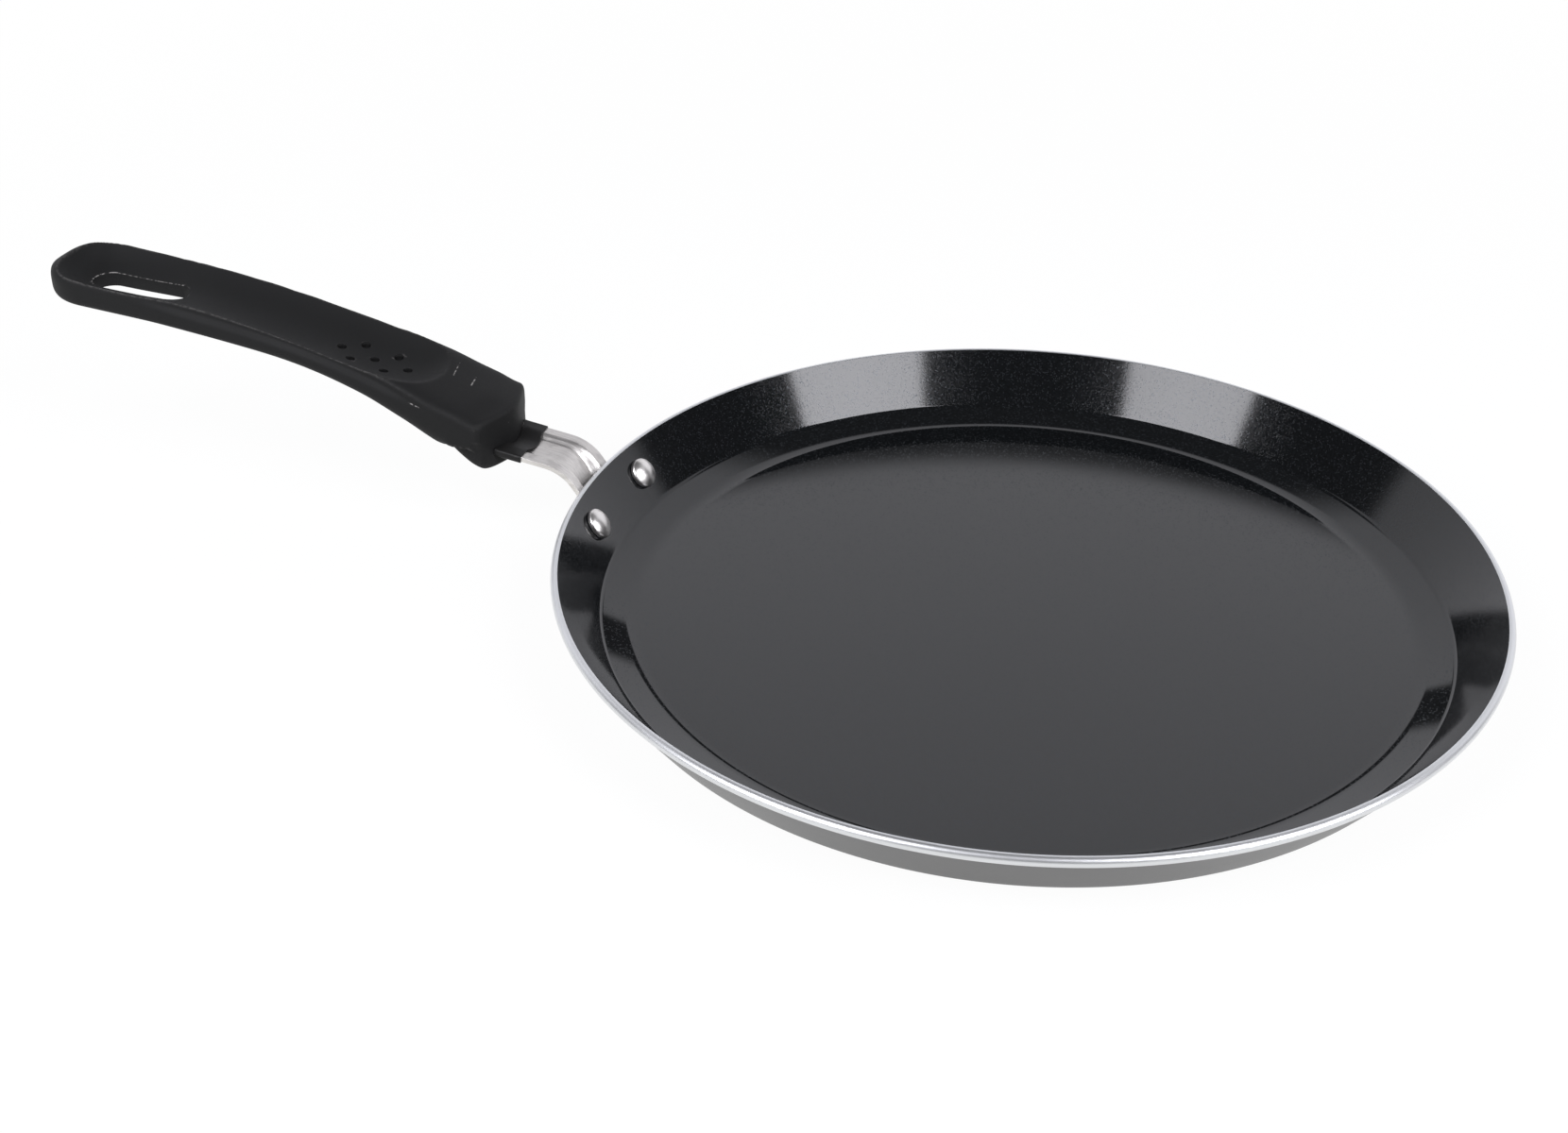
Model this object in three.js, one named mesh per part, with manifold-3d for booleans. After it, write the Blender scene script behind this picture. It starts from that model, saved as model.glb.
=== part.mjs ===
// Crepe pan: a pressed aluminium pan body, a grooved steel strap riveted under its rim,
// and a moulded grip screwed to the strap's tang.
// Millimetres, +Z up. The origin is the middle of the base, on the hob, and the grip points along -X.

import * as THREE from 'three';
import { mergeVertices } from 'three/addons/utils/BufferGeometryUtils.js';
import Module from 'manifold-3d';

// Pan body
const RIM_RADIUS = 140;
const PAN_HEIGHT = 20.8;
const BASE_THICKNESS = 2.2;
const WALL_THICKNESS = 2.5;
const WALL_ANGLE = THREE.MathUtils.degToRad(53.5);
const BEAD_INSIDE_STEP = 0.2;
const BEAD_OUTSIDE_STEP = 0.3;
const FOLD_RADIUS = 2.5;
const SHOULDER_RISE = 2.4;
const SHOULDER_ANGLE = THREE.MathUtils.degToRad(14);
const SHOULDER_RADIUS = 34;
const BASE_FILLET = 3;
const PAN_SEGMENTS = 84;
const FILLET_STEPS = 4;
const BEAD_STEPS = 8;

// Clearances
const FIT = 0.3;
const SEAT = 0.2;

// Rivets
const RIVET_SPACING = 34.3;
const RIVET_BELOW_RIM = 8.7;
const RIVET_HEAD_DIAMETER = 9.6;
const RIVET_HEAD_HEIGHT = 3;
const RIVET_HEAD_EDGE = 0.8;
const RIVET_SHANK_DIAMETER = 5;
const RIVET_TAIL_DIAMETER = 8;
const RIVET_TAIL_HEIGHT = 1.6;
const RIVET_SEGMENTS = 20;
const DOME_STEPS = 5;

// Strap
const STRAP_THICKNESS = 1.5;
const STRAP_WIDTH = 20.8;
const PLATE_MARGIN = 6.5;
const PLATE_CORNER = 5;
const JOGGLE_LENGTH = 2.6;
const BEND_PAST_RIM = 3.6;
const BEND_RADIUS = 13;
const NECK_ANGLE = THREE.MathUtils.degToRad(6);
const NECK_LENGTH = 14.6;
const TANG_ANGLE = THREE.MathUtils.degToRad(23);
const TANG_BEND_RADIUS = 25;
const TANG_LENGTH = 34;
const TANG_WIDTH = 16;
const TANG_BLEND = 6;
const GROOVE_WIDTH = 14.4;
const GROOVE_FLANK = 2.9;
const GROOVE_DEPTH = 1.3;
const GROOVE_DEPTH_AT_RIM = 2.7;
const GROOVE_FADE = 6;
const STRAP_STEPS = 44;
const STRAP_COLUMNS = 12;
const TANG_STEPS = 20;

// Sleeve
const SLEEVE_LENGTH = 6.2;
const SLEEVE_WALL = 0.4;
const SLEEVE_GAP = 0.15;
const SLEEVE_STEPS = 2;

// Grip
const GRIP_LENGTH = 164.4;
const GRIP_RISE = 39.6;
const BLOCK_WIDTH = 34;
const GRIP_WIDTH = 32;
const NOSE_SLOPE = 0.38;
const NOSE_RADIUS = 5;
const NOSE_FADE = 30;
const FRONT_EDGE_RADIUS = 1.6;
const BUTT_ROUND = 17;
const BUTT_POWER = 2.1;
const BUTT_BLUNTNESS = 3;
const DISH_RADIUS = 25;
const SLOT_LENGTH = 34.6;
const SLOT_WIDTH = 11;
const SLOT_FROM_BUTT = 13;
const DIMPLE_DIAMETER = 3.1;
const DIMPLE_DEPTH = 1.1;
const DIMPLE_PITCH = 11.6;
const DIMPLE_ROW_SPACING = 5;
const DIMPLES_FROM_NOSE = 48.7;
const GRIP_COLUMNS = 36;
const GRIP_STEPS = 26;
const EDGE_STEPS = 3;
const BUTT_STEPS = 7;
const DISH_COLUMNS = 60;
const SLOT_STEPS = 8;
const DIMPLE_SEGMENTS = 12;

// Screw, washer and insert
const SCREW_FROM_NOSE = 20;
const SCREW_SHANK_DIAMETER = 4;
const SCREW_HEAD_DIAMETER = 7.6;
const SCREW_HEAD_HEIGHT = 1.8;
const DRIVE_LENGTH = 4.5;
const DRIVE_WIDTH = 1.1;
const DRIVE_DEPTH = 1.1;
const SCREW_ENGAGEMENT = 5;
const SCREW_RECESS_DIAMETER = 9.4;
const SEAT_WALL = 1.4;
const WASHER_DIAMETER = 7.4;
const WASHER_THICKNESS = 0.9;
const WASHER_SPLIT = 0.8;
const INSERT_DIAMETER = 7;
const INSERT_LENGTH = 6.5;
const ROUND_SEGMENTS = 20;

const wasm = await Module();
wasm.setup();

// One closed skin from any geometry: shared corners merged, collapsed triangles dropped.
function skin(geometry) {
  geometry.deleteAttribute('normal');
  geometry.deleteAttribute('uv');
  const merged = mergeVertices(geometry, 1e-3);
  const corners = merged.index.array;
  const kept = [];
  for (let i = 0; i < corners.length; i += 3) {
    const [a, b, c] = [corners[i], corners[i + 1], corners[i + 2]];
    if (a !== b && b !== c && c !== a) kept.push(a, b, c);
  }
  merged.setIndex(kept);
  return merged;
}

function toSolid(geometry) {
  const closed = skin(geometry);
  const vertProperties = new Float32Array(closed.attributes.position.array);
  const triVerts = new Uint32Array(closed.index.array);
  return new wasm.Manifold(new wasm.Mesh({ numProp: 3, vertProperties, triVerts }));
}

function toGeometry(solid) {
  const made = solid.getMesh();
  const geometry = new THREE.BufferGeometry();
  geometry.setAttribute('position', new THREE.BufferAttribute(made.vertProperties, 3));
  geometry.setIndex(new THREE.BufferAttribute(made.triVerts, 1));
  geometry.computeVertexNormals();
  return geometry;
}

// Cuts every tool out of a body.
function cut(body, tools) {
  let solid = toSolid(body);
  for (const tool of tools) solid = solid.subtract(toSolid(tool));
  return toGeometry(solid);
}

// Moves each vertex of a geometry to the place that a function gives it.
function reshape(geometry, place) {
  const spots = geometry.attributes.position;
  const from = new THREE.Vector3();
  for (let i = 0; i < spots.count; i += 1) {
    const to = place(from.fromBufferAttribute(spots, i));
    spots.setXYZ(i, to.x, to.y, to.z);
  }
  return geometry;
}

// A turned solid about +Z from a profile of (radius, height) points.
function turned(profile, segments) {
  return new THREE.LatheGeometry(profile, segments).rotateX(Math.PI / 2);
}

// Points of an arc in the (radius, height) plane, from one angle to another.
function arc(centre, radius, from, to, steps) {
  const points = [];
  for (let i = 0; i <= steps; i += 1) {
    const angle = from + ((to - from) * i) / steps;
    points.push(new THREE.Vector2(
      centre.x + radius * Math.cos(angle),
      centre.y + radius * Math.sin(angle),
    ));
  }
  return points;
}

function finish(color, roughness, metalness) {
  return new THREE.MeshStandardMaterial({ color, roughness, metalness });
}

function piece(name, geometry, material) {
  const mesh = new THREE.Mesh(geometry, material);
  mesh.name = name;
  return mesh;
}

// The wall's directions in the (radius, height) plane: up the slope, and square to it towards the inside.
const UP_WALL = new THREE.Vector2(Math.cos(WALL_ANGLE), Math.sin(WALL_ANGLE));
const INTO_PAN = new THREE.Vector2(-Math.sin(WALL_ANGLE), Math.cos(WALL_ANGLE));
const BEAD_RADIUS = (WALL_THICKNESS + BEAD_INSIDE_STEP + BEAD_OUTSIDE_STEP) / 2;
const BEAD_CENTRE = new THREE.Vector2(RIM_RADIUS - BEAD_RADIUS, PAN_HEIGHT - BEAD_RADIUS);
const INSIDE_OFFSET = BEAD_RADIUS - BEAD_INSIDE_STEP;
const OUTSIDE_OFFSET = BEAD_OUTSIDE_STEP - BEAD_RADIUS;

// A point of the wall: up the slope from the bead's centre, and off it towards the inside.
function wallPoint(upSlope, inwards) {
  return BEAD_CENTRE.clone().addScaledVector(UP_WALL, upSlope).addScaledVector(INTO_PAN, inwards);
}

// The point at a height on a line along the wall, off it towards the inside.
function wallAtHeight(height, offset) {
  const onWall = wallPoint(0, offset);
  const slope = (height - onWall.y) / UP_WALL.y;
  return onWall.addScaledVector(UP_WALL, slope);
}

// The centre of the tight fold where the wall's inside meets the floor's shoulder.
const FOLD_CORNER = wallAtHeight(BASE_THICKNESS + SHOULDER_RISE, INSIDE_OFFSET);
function foldCentre() {
  const reach = FOLD_RADIUS * Math.tan((WALL_ANGLE - SHOULDER_ANGLE) / 2);
  return new THREE.Vector2(
    FOLD_CORNER.x - reach * Math.cos(SHOULDER_ANGLE) - FOLD_RADIUS * Math.sin(SHOULDER_ANGLE),
    FOLD_CORNER.y - reach * Math.sin(SHOULDER_ANGLE) + FOLD_RADIUS * Math.cos(SHOULDER_ANGLE),
  );
}

// The centre of the shallow curve between the shoulder and the flat floor.
function shoulderCentre() {
  const run = SHOULDER_RISE / Math.tan(SHOULDER_ANGLE) + SHOULDER_RADIUS * Math.tan(SHOULDER_ANGLE / 2);
  return new THREE.Vector2(FOLD_CORNER.x - run, BASE_THICKNESS + SHOULDER_RADIUS);
}

function panProfile() {
  const baseCentre = wallAtHeight(BASE_FILLET, OUTSIDE_OFFSET + BASE_FILLET);
  const wallFoot = WALL_ANGLE - Math.PI / 2;
  const shoulderFoot = SHOULDER_ANGLE - Math.PI / 2;
  const insideReach = Math.acos(INSIDE_OFFSET / BEAD_RADIUS);
  const outsideReach = Math.acos(-OUTSIDE_OFFSET / BEAD_RADIUS);
  const inward = WALL_ANGLE + Math.PI / 2;
  return [
    new THREE.Vector2(0, 0),
    ...arc(baseCentre, BASE_FILLET, -Math.PI / 2, wallFoot, FILLET_STEPS),
    ...arc(BEAD_CENTRE, BEAD_RADIUS, wallFoot - outsideReach, inward + insideReach, BEAD_STEPS),
    ...arc(foldCentre(), FOLD_RADIUS, wallFoot, shoulderFoot, FILLET_STEPS),
    ...arc(shoulderCentre(), SHOULDER_RADIUS, shoulderFoot, -Math.PI / 2, FILLET_STEPS),
    new THREE.Vector2(0, BASE_THICKNESS),
  ];
}

// The rivet's frame on one side: its origin on the wall's inside, +Z along the rivet into the pan.
const RIVET_FOOT = wallPoint(-RIVET_BELOW_RIM, INSIDE_OFFSET);
function rivetFrame(side) {
  const bearing = Math.asin((side * RIVET_SPACING) / 2 / RIVET_FOOT.x);
  const tilt = new THREE.Matrix4().makeRotationY(-WALL_ANGLE);
  const place = new THREE.Matrix4().makeTranslation(RIVET_FOOT.x, 0, RIVET_FOOT.y);
  return new THREE.Matrix4().makeRotationZ(bearing).multiply(place).multiply(tilt);
}

function panBody() {
  return cut(turned(panProfile(), PAN_SEGMENTS), [rivetHole(-1), rivetHole(1)]);
}

const RIVET_GRIP = WALL_THICKNESS + STRAP_THICKNESS + 3 * FIT;

function rivetHole(side) {
  const length = 2 * (RIVET_GRIP + RIVET_TAIL_HEIGHT);
  const radius = RIVET_SHANK_DIAMETER / 2 + FIT;
  const hole = new THREE.CylinderGeometry(radius, radius, length, RIVET_SEGMENTS).rotateX(Math.PI / 2);
  return hole.applyMatrix4(rivetFrame(side));
}

// A shallow dome: half of an ellipse from its edge to the axis.
function dome(radius, height, base) {
  const points = [];
  for (let i = 0; i <= DOME_STEPS; i += 1) {
    const angle = (Math.PI / 2) * (i / DOME_STEPS);
    points.push(new THREE.Vector2(radius * Math.cos(angle), base + height * Math.sin(angle)));
  }
  points[DOME_STEPS].x = 0;
  return points;
}

function rivet() {
  const shank = RIVET_SHANK_DIAMETER / 2;
  const tail = dome(RIVET_TAIL_DIAMETER / 2, -RIVET_TAIL_HEIGHT, FIT - RIVET_GRIP).reverse();
  const head = dome(RIVET_HEAD_DIAMETER / 2, RIVET_HEAD_HEIGHT - RIVET_HEAD_EDGE, FIT + RIVET_HEAD_EDGE);
  return turned([
    ...tail,
    new THREE.Vector2(shank, FIT - RIVET_GRIP),
    new THREE.Vector2(shank, FIT),
    new THREE.Vector2(RIVET_HEAD_DIAMETER / 2, FIT),
    ...head,
  ], RIVET_SEGMENTS);
}

// The strap's middle line, in the upright plane through the grip, as runs of a length and a turn.
// Distances along it start at the rivet plate's lower edge.
const PLATE_WIDTH = RIVET_SPACING + 2 * PLATE_MARGIN;
const STRAP_OFFSET = -(BEAD_RADIUS + FIT + STRAP_THICKNESS / 2);
const RIM_AT = RIVET_BELOW_RIM + PLATE_MARGIN;
const PLATE_RUN = RIM_AT + BEND_PAST_RIM;
const BEND_RUN = BEND_RADIUS * (WALL_ANGLE - NECK_ANGLE);
const FACE_AT = PLATE_RUN + BEND_RUN + NECK_LENGTH;
const TANG_BEND_RUN = TANG_BEND_RADIUS * (TANG_ANGLE - NECK_ANGLE);
const STRAP_LENGTH = FACE_AT + TANG_BEND_RUN + TANG_LENGTH;
const STRAP_RUNS = [
  { length: PLATE_RUN, turn: 0 },
  { length: BEND_RUN, turn: NECK_ANGLE - WALL_ANGLE },
  { length: NECK_LENGTH, turn: 0 },
  { length: TANG_BEND_RUN, turn: TANG_ANGLE - NECK_ANGLE },
  { length: TANG_LENGTH, turn: 0 },
];

// The middle line's point and heading at a distance. Past its last run it goes on straight.
function strapLine(distance) {
  const point = wallPoint(-RIM_AT, STRAP_OFFSET);
  let heading = WALL_ANGLE;
  let left = distance;
  STRAP_RUNS.forEach((run, i) => {
    const last = i === STRAP_RUNS.length - 1;
    const gone = last ? left : Math.min(left, run.length);
    const swing = (run.turn * gone) / run.length;
    const chord = swing === 0 ? gone : (2 * gone * Math.sin(swing / 2)) / swing;
    point.x += chord * Math.cos(heading + swing / 2);
    point.y += chord * Math.sin(heading + swing / 2);
    heading += swing;
    left -= gone;
  });
  return { point, heading };
}

const ease = (value, from, to) => THREE.MathUtils.smoothstep(value, from, to);

// Half the strap's width: a plate with round lower corners, sloping shoulders up to the rim,
// the strap, then the narrower tang.
function strapHalfWidth(distance) {
  const corner = Math.max(0, PLATE_CORNER - distance);
  const plate = PLATE_WIDTH / 2 - PLATE_CORNER + Math.sqrt(PLATE_CORNER ** 2 - corner ** 2);
  const arms = ease(distance, PLATE_MARGIN, RIM_AT);
  const tang = ease(distance, FACE_AT, FACE_AT + TANG_BLEND);
  const strap = THREE.MathUtils.lerp(STRAP_WIDTH / 2, TANG_WIDTH / 2, tang);
  return THREE.MathUtils.lerp(plate, strap, arms);
}

// How far the pressed groove drops the sheet at a distance along and a place across.
// It is deepest at the rim.
function grooveDrop(distance, across) {
  const edge = GROOVE_WIDTH / 2;
  const flank = 1 - ease(Math.abs(across), edge - GROOVE_FLANK, edge);
  const start = ease(distance, 0, GROOVE_FADE);
  const end = 1 - ease(distance, FACE_AT, FACE_AT + GROOVE_FADE);
  const pastRim = ease(distance, RIM_AT, PLATE_RUN + BEND_RUN);
  return THREE.MathUtils.lerp(GROOVE_DEPTH_AT_RIM, GROOVE_DEPTH, pastRim) * flank * start * end;
}

// A place in the pressed sheet: along the middle line, across it, and off it towards the upper face.
// The plate lies against the round wall and steps out past the rim bead.
// The strap past it is straight across.
function sheetPlace(distance, across, off) {
  const { point, heading } = strapLine(distance);
  const underBead = RIM_AT - BEAD_RADIUS;
  const towardsWall = BEAD_OUTSIDE_STEP * (1 - ease(distance, underBead - JOGGLE_LENGTH, underBead));
  const lift = off + towardsWall - grooveDrop(distance, across);
  const radius = point.x - Math.sin(heading) * lift;
  const wrap = 1 - ease(distance, PLATE_RUN, PLATE_RUN + BEND_RUN);
  const sagitta = radius - Math.sqrt(radius ** 2 - across ** 2);
  return new THREE.Vector3(radius - wrap * sagitta, across, point.y + Math.cos(heading) * lift);
}

// How far the grip's front falls back at a place across, from a rounded nose in the middle.
function noseSetback(across) {
  return NOSE_SLOPE * (Math.sqrt(across ** 2 + NOSE_RADIUS ** 2) - NOSE_RADIUS);
}

// A place across the sheet from a column of its blank: the inner columns keep to the groove,
// the outer ones spread to the edge.
function acrossAt(column, half) {
  const edge = GROOVE_WIDTH / 2;
  const out = 2 * Math.abs(column);
  const across = out < 1 ? out * edge : edge + (out - 1) * (half - edge);
  return Math.sign(column) * across;
}

// A stretch of the pressed sheet between two distances, grown all round by an allowance.
// A skewed stretch starts straight across and ends like the grip's front, which falls back at its sides.
function sheet(from, to, grow, steps, skew) {
  const blank = new THREE.BoxGeometry(1, 2, 1, steps, STRAP_COLUMNS, 1);
  return reshape(blank, ({ x, y, z }) => {
    const distance = from + (to - from) * (x + 0.5);
    const across = acrossAt(y, strapHalfWidth(distance) + grow);
    const off = z * (STRAP_THICKNESS + 2 * grow);
    return sheetPlace(distance + skew * (x + 0.5) * noseSetback(across), across, off);
  });
}

// The screw's frame: its origin on the tang's middle, +Z square to the tang, upwards.
function screwFrame() {
  const { point, heading } = strapLine(FACE_AT + SCREW_FROM_NOSE);
  const place = new THREE.Matrix4().makeTranslation(point.x, 0, point.y);
  return place.multiply(new THREE.Matrix4().makeRotationY(-heading));
}

// A round tool along the screw's axis between two heights over the tang's middle.
function screwTool(radius, from, to) {
  const tool = new THREE.CylinderGeometry(radius, radius, to - from, ROUND_SEGMENTS).rotateX(Math.PI / 2);
  return tool.translate(0, 0, (from + to) / 2).applyMatrix4(screwFrame());
}

const SCREW_RADIUS = SCREW_SHANK_DIAMETER / 2;
const TANG_POCKET = STRAP_THICKNESS / 2 + FIT;
const WASHER_TOP = -(TANG_POCKET + SEAT_WALL + SEAT);
const HEAD_TOP = WASHER_TOP - WASHER_THICKNESS - SEAT;
const INSERT_FOOT = TANG_POCKET + FIT;
const INSERT_TOP = INSERT_FOOT + INSERT_LENGTH;

function handleStrap() {
  const blank = sheet(0, STRAP_LENGTH, 0, STRAP_STEPS, 0);
  const tangHole = screwTool(SCREW_RADIUS + FIT, -STRAP_THICKNESS, STRAP_THICKNESS);
  return cut(blank, [rivetHole(-1), rivetHole(1), tangHole]);
}

function strapSleeve() {
  const to = FACE_AT - FIT;
  const outside = sheet(to - SLEEVE_LENGTH, to, SLEEVE_GAP + SLEEVE_WALL, SLEEVE_STEPS, 1);
  const bore = sheet(to - 2 * SLEEVE_LENGTH, to + SLEEVE_LENGTH, SLEEVE_GAP, 3 * SLEEVE_STEPS, 1);
  return cut(outside, [bore]);
}

// The grip's lines at stations along it, as shares of its rise over the strap's middle at the grip's front:
// its crest before the dish is cut, the widest line of its sides, and its keel.
// The powers square its upper and lower corners.
const FACE = strapLine(FACE_AT).point;
const MIDDLE_WIDTH = (BLOCK_WIDTH + GRIP_WIDTH) / 2;
const STATIONS = [
  { at: 0, width: BLOCK_WIDTH, crest: 0.306, side: 0.066, keel: -0.139, top: 9, bottom: 6 },
  { at: 0.06, width: BLOCK_WIDTH, crest: 0.374, side: 0.157, keel: -0.081, top: 8, bottom: 3.6 },
  { at: 0.085, width: BLOCK_WIDTH, crest: 0.4, side: 0.194, keel: -0.03, top: 7.4, bottom: 2.8 },
  { at: 0.12, width: BLOCK_WIDTH, crest: 0.439, side: 0.247, keel: -0.018, top: 6.5, bottom: 2.6 },
  { at: 0.2, width: BLOCK_WIDTH, crest: 0.553, side: 0.374, keel: 0.162, top: 4.4, bottom: 2.8 },
  { at: 0.28, width: MIDDLE_WIDTH, crest: 0.649, side: 0.475, keel: 0.308, top: 4.2, bottom: 2.6 },
  { at: 0.44, width: GRIP_WIDTH, crest: 0.788, side: 0.621, keel: 0.487, top: 4.1, bottom: 2.7 },
  { at: 0.7, width: GRIP_WIDTH, crest: 0.924, side: 0.758, keel: 0.636, top: 3.9, bottom: 5.4 },
  { at: 0.86, width: GRIP_WIDTH, crest: 0.98, side: 0.798, keel: 0.652, top: 3.8, bottom: 4.2 },
  { at: 1.0, width: GRIP_WIDTH, crest: 1.005, side: 0.813, keel: 0.662, top: 3.6, bottom: 3.9 },
];

// The dish's floor line along the grip, in shares of the same rise: it leaves the top near the front and
// again at the butt. Its steepness stretches the round section upwards.
const DISH = [
  { at: 0.048, floor: 0.621, steep: 1 },
  { at: 0.085, floor: 0.566, steep: 1 },
  { at: 0.121, floor: 0.514, steep: 1 },
  { at: 0.147, floor: 0.477, steep: 1 },
  { at: 0.17, floor: 0.449, steep: 1 },
  { at: 0.194, floor: 0.436, steep: 1 },
  { at: 0.23, floor: 0.443, steep: 1 },
  { at: 0.267, floor: 0.462, steep: 1 },
  { at: 0.303, floor: 0.49, steep: 1 },
  { at: 0.34, floor: 0.523, steep: 1 },
  { at: 0.376, floor: 0.558, steep: 1 },
  { at: 0.448, floor: 0.616, steep: 1.02 },
  { at: 0.521, floor: 0.669, steep: 1.04 },
  { at: 0.594, floor: 0.715, steep: 1.06 },
  { at: 0.667, floor: 0.747, steep: 1.06 },
  { at: 0.721, floor: 0.753, steep: 1.06 },
  { at: 0.776, floor: 0.745, steep: 1.08 },
  { at: 0.83, floor: 0.747, steep: 1.14 },
  { at: 0.885, floor: 0.755, steep: 1.22 },
  { at: 0.915, floor: 0.77, steep: 1.26 },
  { at: 0.93, floor: 0.79, steep: 1.26 },
  { at: 0.945, floor: 0.828, steep: 1.26 },
  { at: 0.958, floor: 0.884, steep: 1.26 },
  { at: 0.969, floor: 0.96, steep: 1.26 },
  { at: 0.98, floor: 1.048, steep: 1.26 },
  { at: 1.0, floor: 1.187, steep: 1.26 },
];

// A smooth curve through one named value of a row of stations, times a unit.
// It is read at a distance from the nose.
function lineThrough(stations, key, unit) {
  const at = stations.map((station) => station.at * GRIP_LENGTH);
  const curve = new THREE.CubicInterpolant(at, stations.map((station) => station[key] * unit), 1);
  return (distance) => curve.evaluate(distance)[0];
}

const widthAt = lineThrough(STATIONS, 'width', 1);
const crestAt = lineThrough(STATIONS, 'crest', GRIP_RISE);
const sideAt = lineThrough(STATIONS, 'side', GRIP_RISE);
const keelAt = lineThrough(STATIONS, 'keel', GRIP_RISE);
const topPowerAt = lineThrough(STATIONS, 'top', 1);
const bottomPowerAt = lineThrough(STATIONS, 'bottom', 1);
const dishFloorAt = lineThrough(DISH, 'floor', GRIP_RISE);
const dishSteepnessAt = lineThrough(DISH, 'steep', 1);

// One coordinate of a squared ellipse, from the cosine or sine of its angle.
function squared(value, power) {
  return Math.sign(value) * Math.abs(value) ** (2 / power);
}

// How far a rounded end has closed in, from 1 where it starts to 0 at its tip.
function roundEnd(gone, power) {
  return Math.max(0, 1 - gone ** power) ** (1 / power);
}

// A place on the grip before its cuts: a distance from the nose, an angle around it, how far the section
// is drawn in at the rounded front edge, and a reach of 1 on its skin or 0 at the middle of its ends.
function gripPlace(distance, angle, inset, reach) {
  const intoButt = Math.max(0, distance - (GRIP_LENGTH - BUTT_ROUND)) / BUTT_ROUND;
  const narrow = reach * roundEnd(intoButt, BUTT_POWER);
  const flatten = reach * roundEnd(intoButt, BUTT_BLUNTNESS);
  const upper = Math.sin(angle) > 0;
  const power = upper ? topPowerAt(distance) : bottomPowerAt(distance);
  const side = sideAt(distance);
  const height = upper ? crestAt(distance) - side : side - keelAt(distance);
  const across = squared(Math.cos(angle), power) * (widthAt(distance) / 2 - inset) * narrow;
  const up = side + squared(Math.sin(angle), power) * (height - inset) * flatten;
  const setback = noseSetback(across) * (1 - ease(distance, 0, NOSE_FADE));
  return new THREE.Vector3(FACE.x + distance + setback, across, FACE.y + up);
}

// Where the grip's sections stand: close together round the front edge and the butt.
function gripSections() {
  const sections = [];
  for (let i = 0; i < EDGE_STEPS; i += 1) {
    const turn = ((Math.PI / 2) * i) / EDGE_STEPS;
    const at = FRONT_EDGE_RADIUS * (1 - Math.cos(turn));
    sections.push({ at, inset: FRONT_EDGE_RADIUS * (1 - Math.sin(turn)) });
  }
  const run = GRIP_LENGTH - BUTT_ROUND - FRONT_EDGE_RADIUS;
  for (let i = 0; i < GRIP_STEPS; i += 1) {
    sections.push({ at: FRONT_EDGE_RADIUS + (run * i) / GRIP_STEPS, inset: 0 });
  }
  for (let i = 0; i <= BUTT_STEPS; i += 1) {
    const turn = ((Math.PI / 2) * i) / BUTT_STEPS;
    sections.push({ at: GRIP_LENGTH - BUTT_ROUND * (1 - Math.sin(turn)), inset: 0 });
  }
  return sections;
}

function gripBlank() {
  const sections = gripSections();
  const rows = sections.length - 1;
  const tube = new THREE.CylinderGeometry(1, 1, 1, GRIP_COLUMNS, rows);
  return reshape(tube, ({ x, y, z }) => {
    const { at, inset } = sections[Math.round((y + 0.5) * rows)];
    return gripPlace(at, Math.atan2(x, z), inset, Math.hypot(x, z));
  });
}

// The dish along the grip's top: a round bar whose sections follow the dish's floor line.
function dishTool() {
  const rows = DISH.length - 1;
  const bar = new THREE.CylinderGeometry(DISH_RADIUS, DISH_RADIUS, rows, DISH_COLUMNS, rows);
  return reshape(bar, ({ x, y, z }) => {
    const { at, floor, steep } = DISH[Math.round(y + rows / 2)];
    const up = FACE.y + floor * GRIP_RISE + steep * (z + DISH_RADIUS);
    return new THREE.Vector3(FACE.x + at * GRIP_LENGTH, -x, up);
  });
}

// The hanging slot: a long hole with round ends, straight down through the grip.
function slotTool() {
  const run = (SLOT_LENGTH - SLOT_WIDTH) / 2;
  const outline = new THREE.Shape();
  outline.absarc(run, 0, SLOT_WIDTH / 2, -Math.PI / 2, Math.PI / 2);
  outline.absarc(-run, 0, SLOT_WIDTH / 2, Math.PI / 2, (3 * Math.PI) / 2);
  const middle = GRIP_LENGTH - SLOT_FROM_BUTT - SLOT_LENGTH / 2;
  const depth = crestAt(middle) + GRIP_WIDTH;
  const options = { depth, curveSegments: SLOT_STEPS, bevelEnabled: false };
  const hole = new THREE.ExtrudeGeometry(outline, options);
  return hole.translate(FACE.x + middle, 0, FACE.y + crestAt(middle) + SLOT_WIDTH - depth);
}

// Seven round dimples in the dish: a row along the middle,
// and a shorter row, half a pitch on, at each side.
function dimpleTools() {
  const radius = ((DIMPLE_DIAMETER / 2) ** 2 + DIMPLE_DEPTH ** 2) / (2 * DIMPLE_DEPTH);
  const tools = [];
  for (const row of [-1, 0, 1]) {
    const count = row === 0 ? 3 : 2;
    for (let i = 0; i < count; i += 1) {
      const distance = DIMPLES_FROM_NOSE + DIMPLE_PITCH * (i - (count - 1) / 2);
      const across = row * DIMPLE_ROW_SPACING;
      const rise = dishSteepnessAt(distance) * (DISH_RADIUS - Math.sqrt(DISH_RADIUS ** 2 - across ** 2));
      const up = FACE.y + dishFloorAt(distance) + rise + radius - DIMPLE_DEPTH;
      tools.push(new THREE.SphereGeometry(radius, DIMPLE_SEGMENTS, DIMPLE_SEGMENTS / 2)
        .translate(FACE.x + distance, across, up));
    }
  }
  return tools;
}

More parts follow.
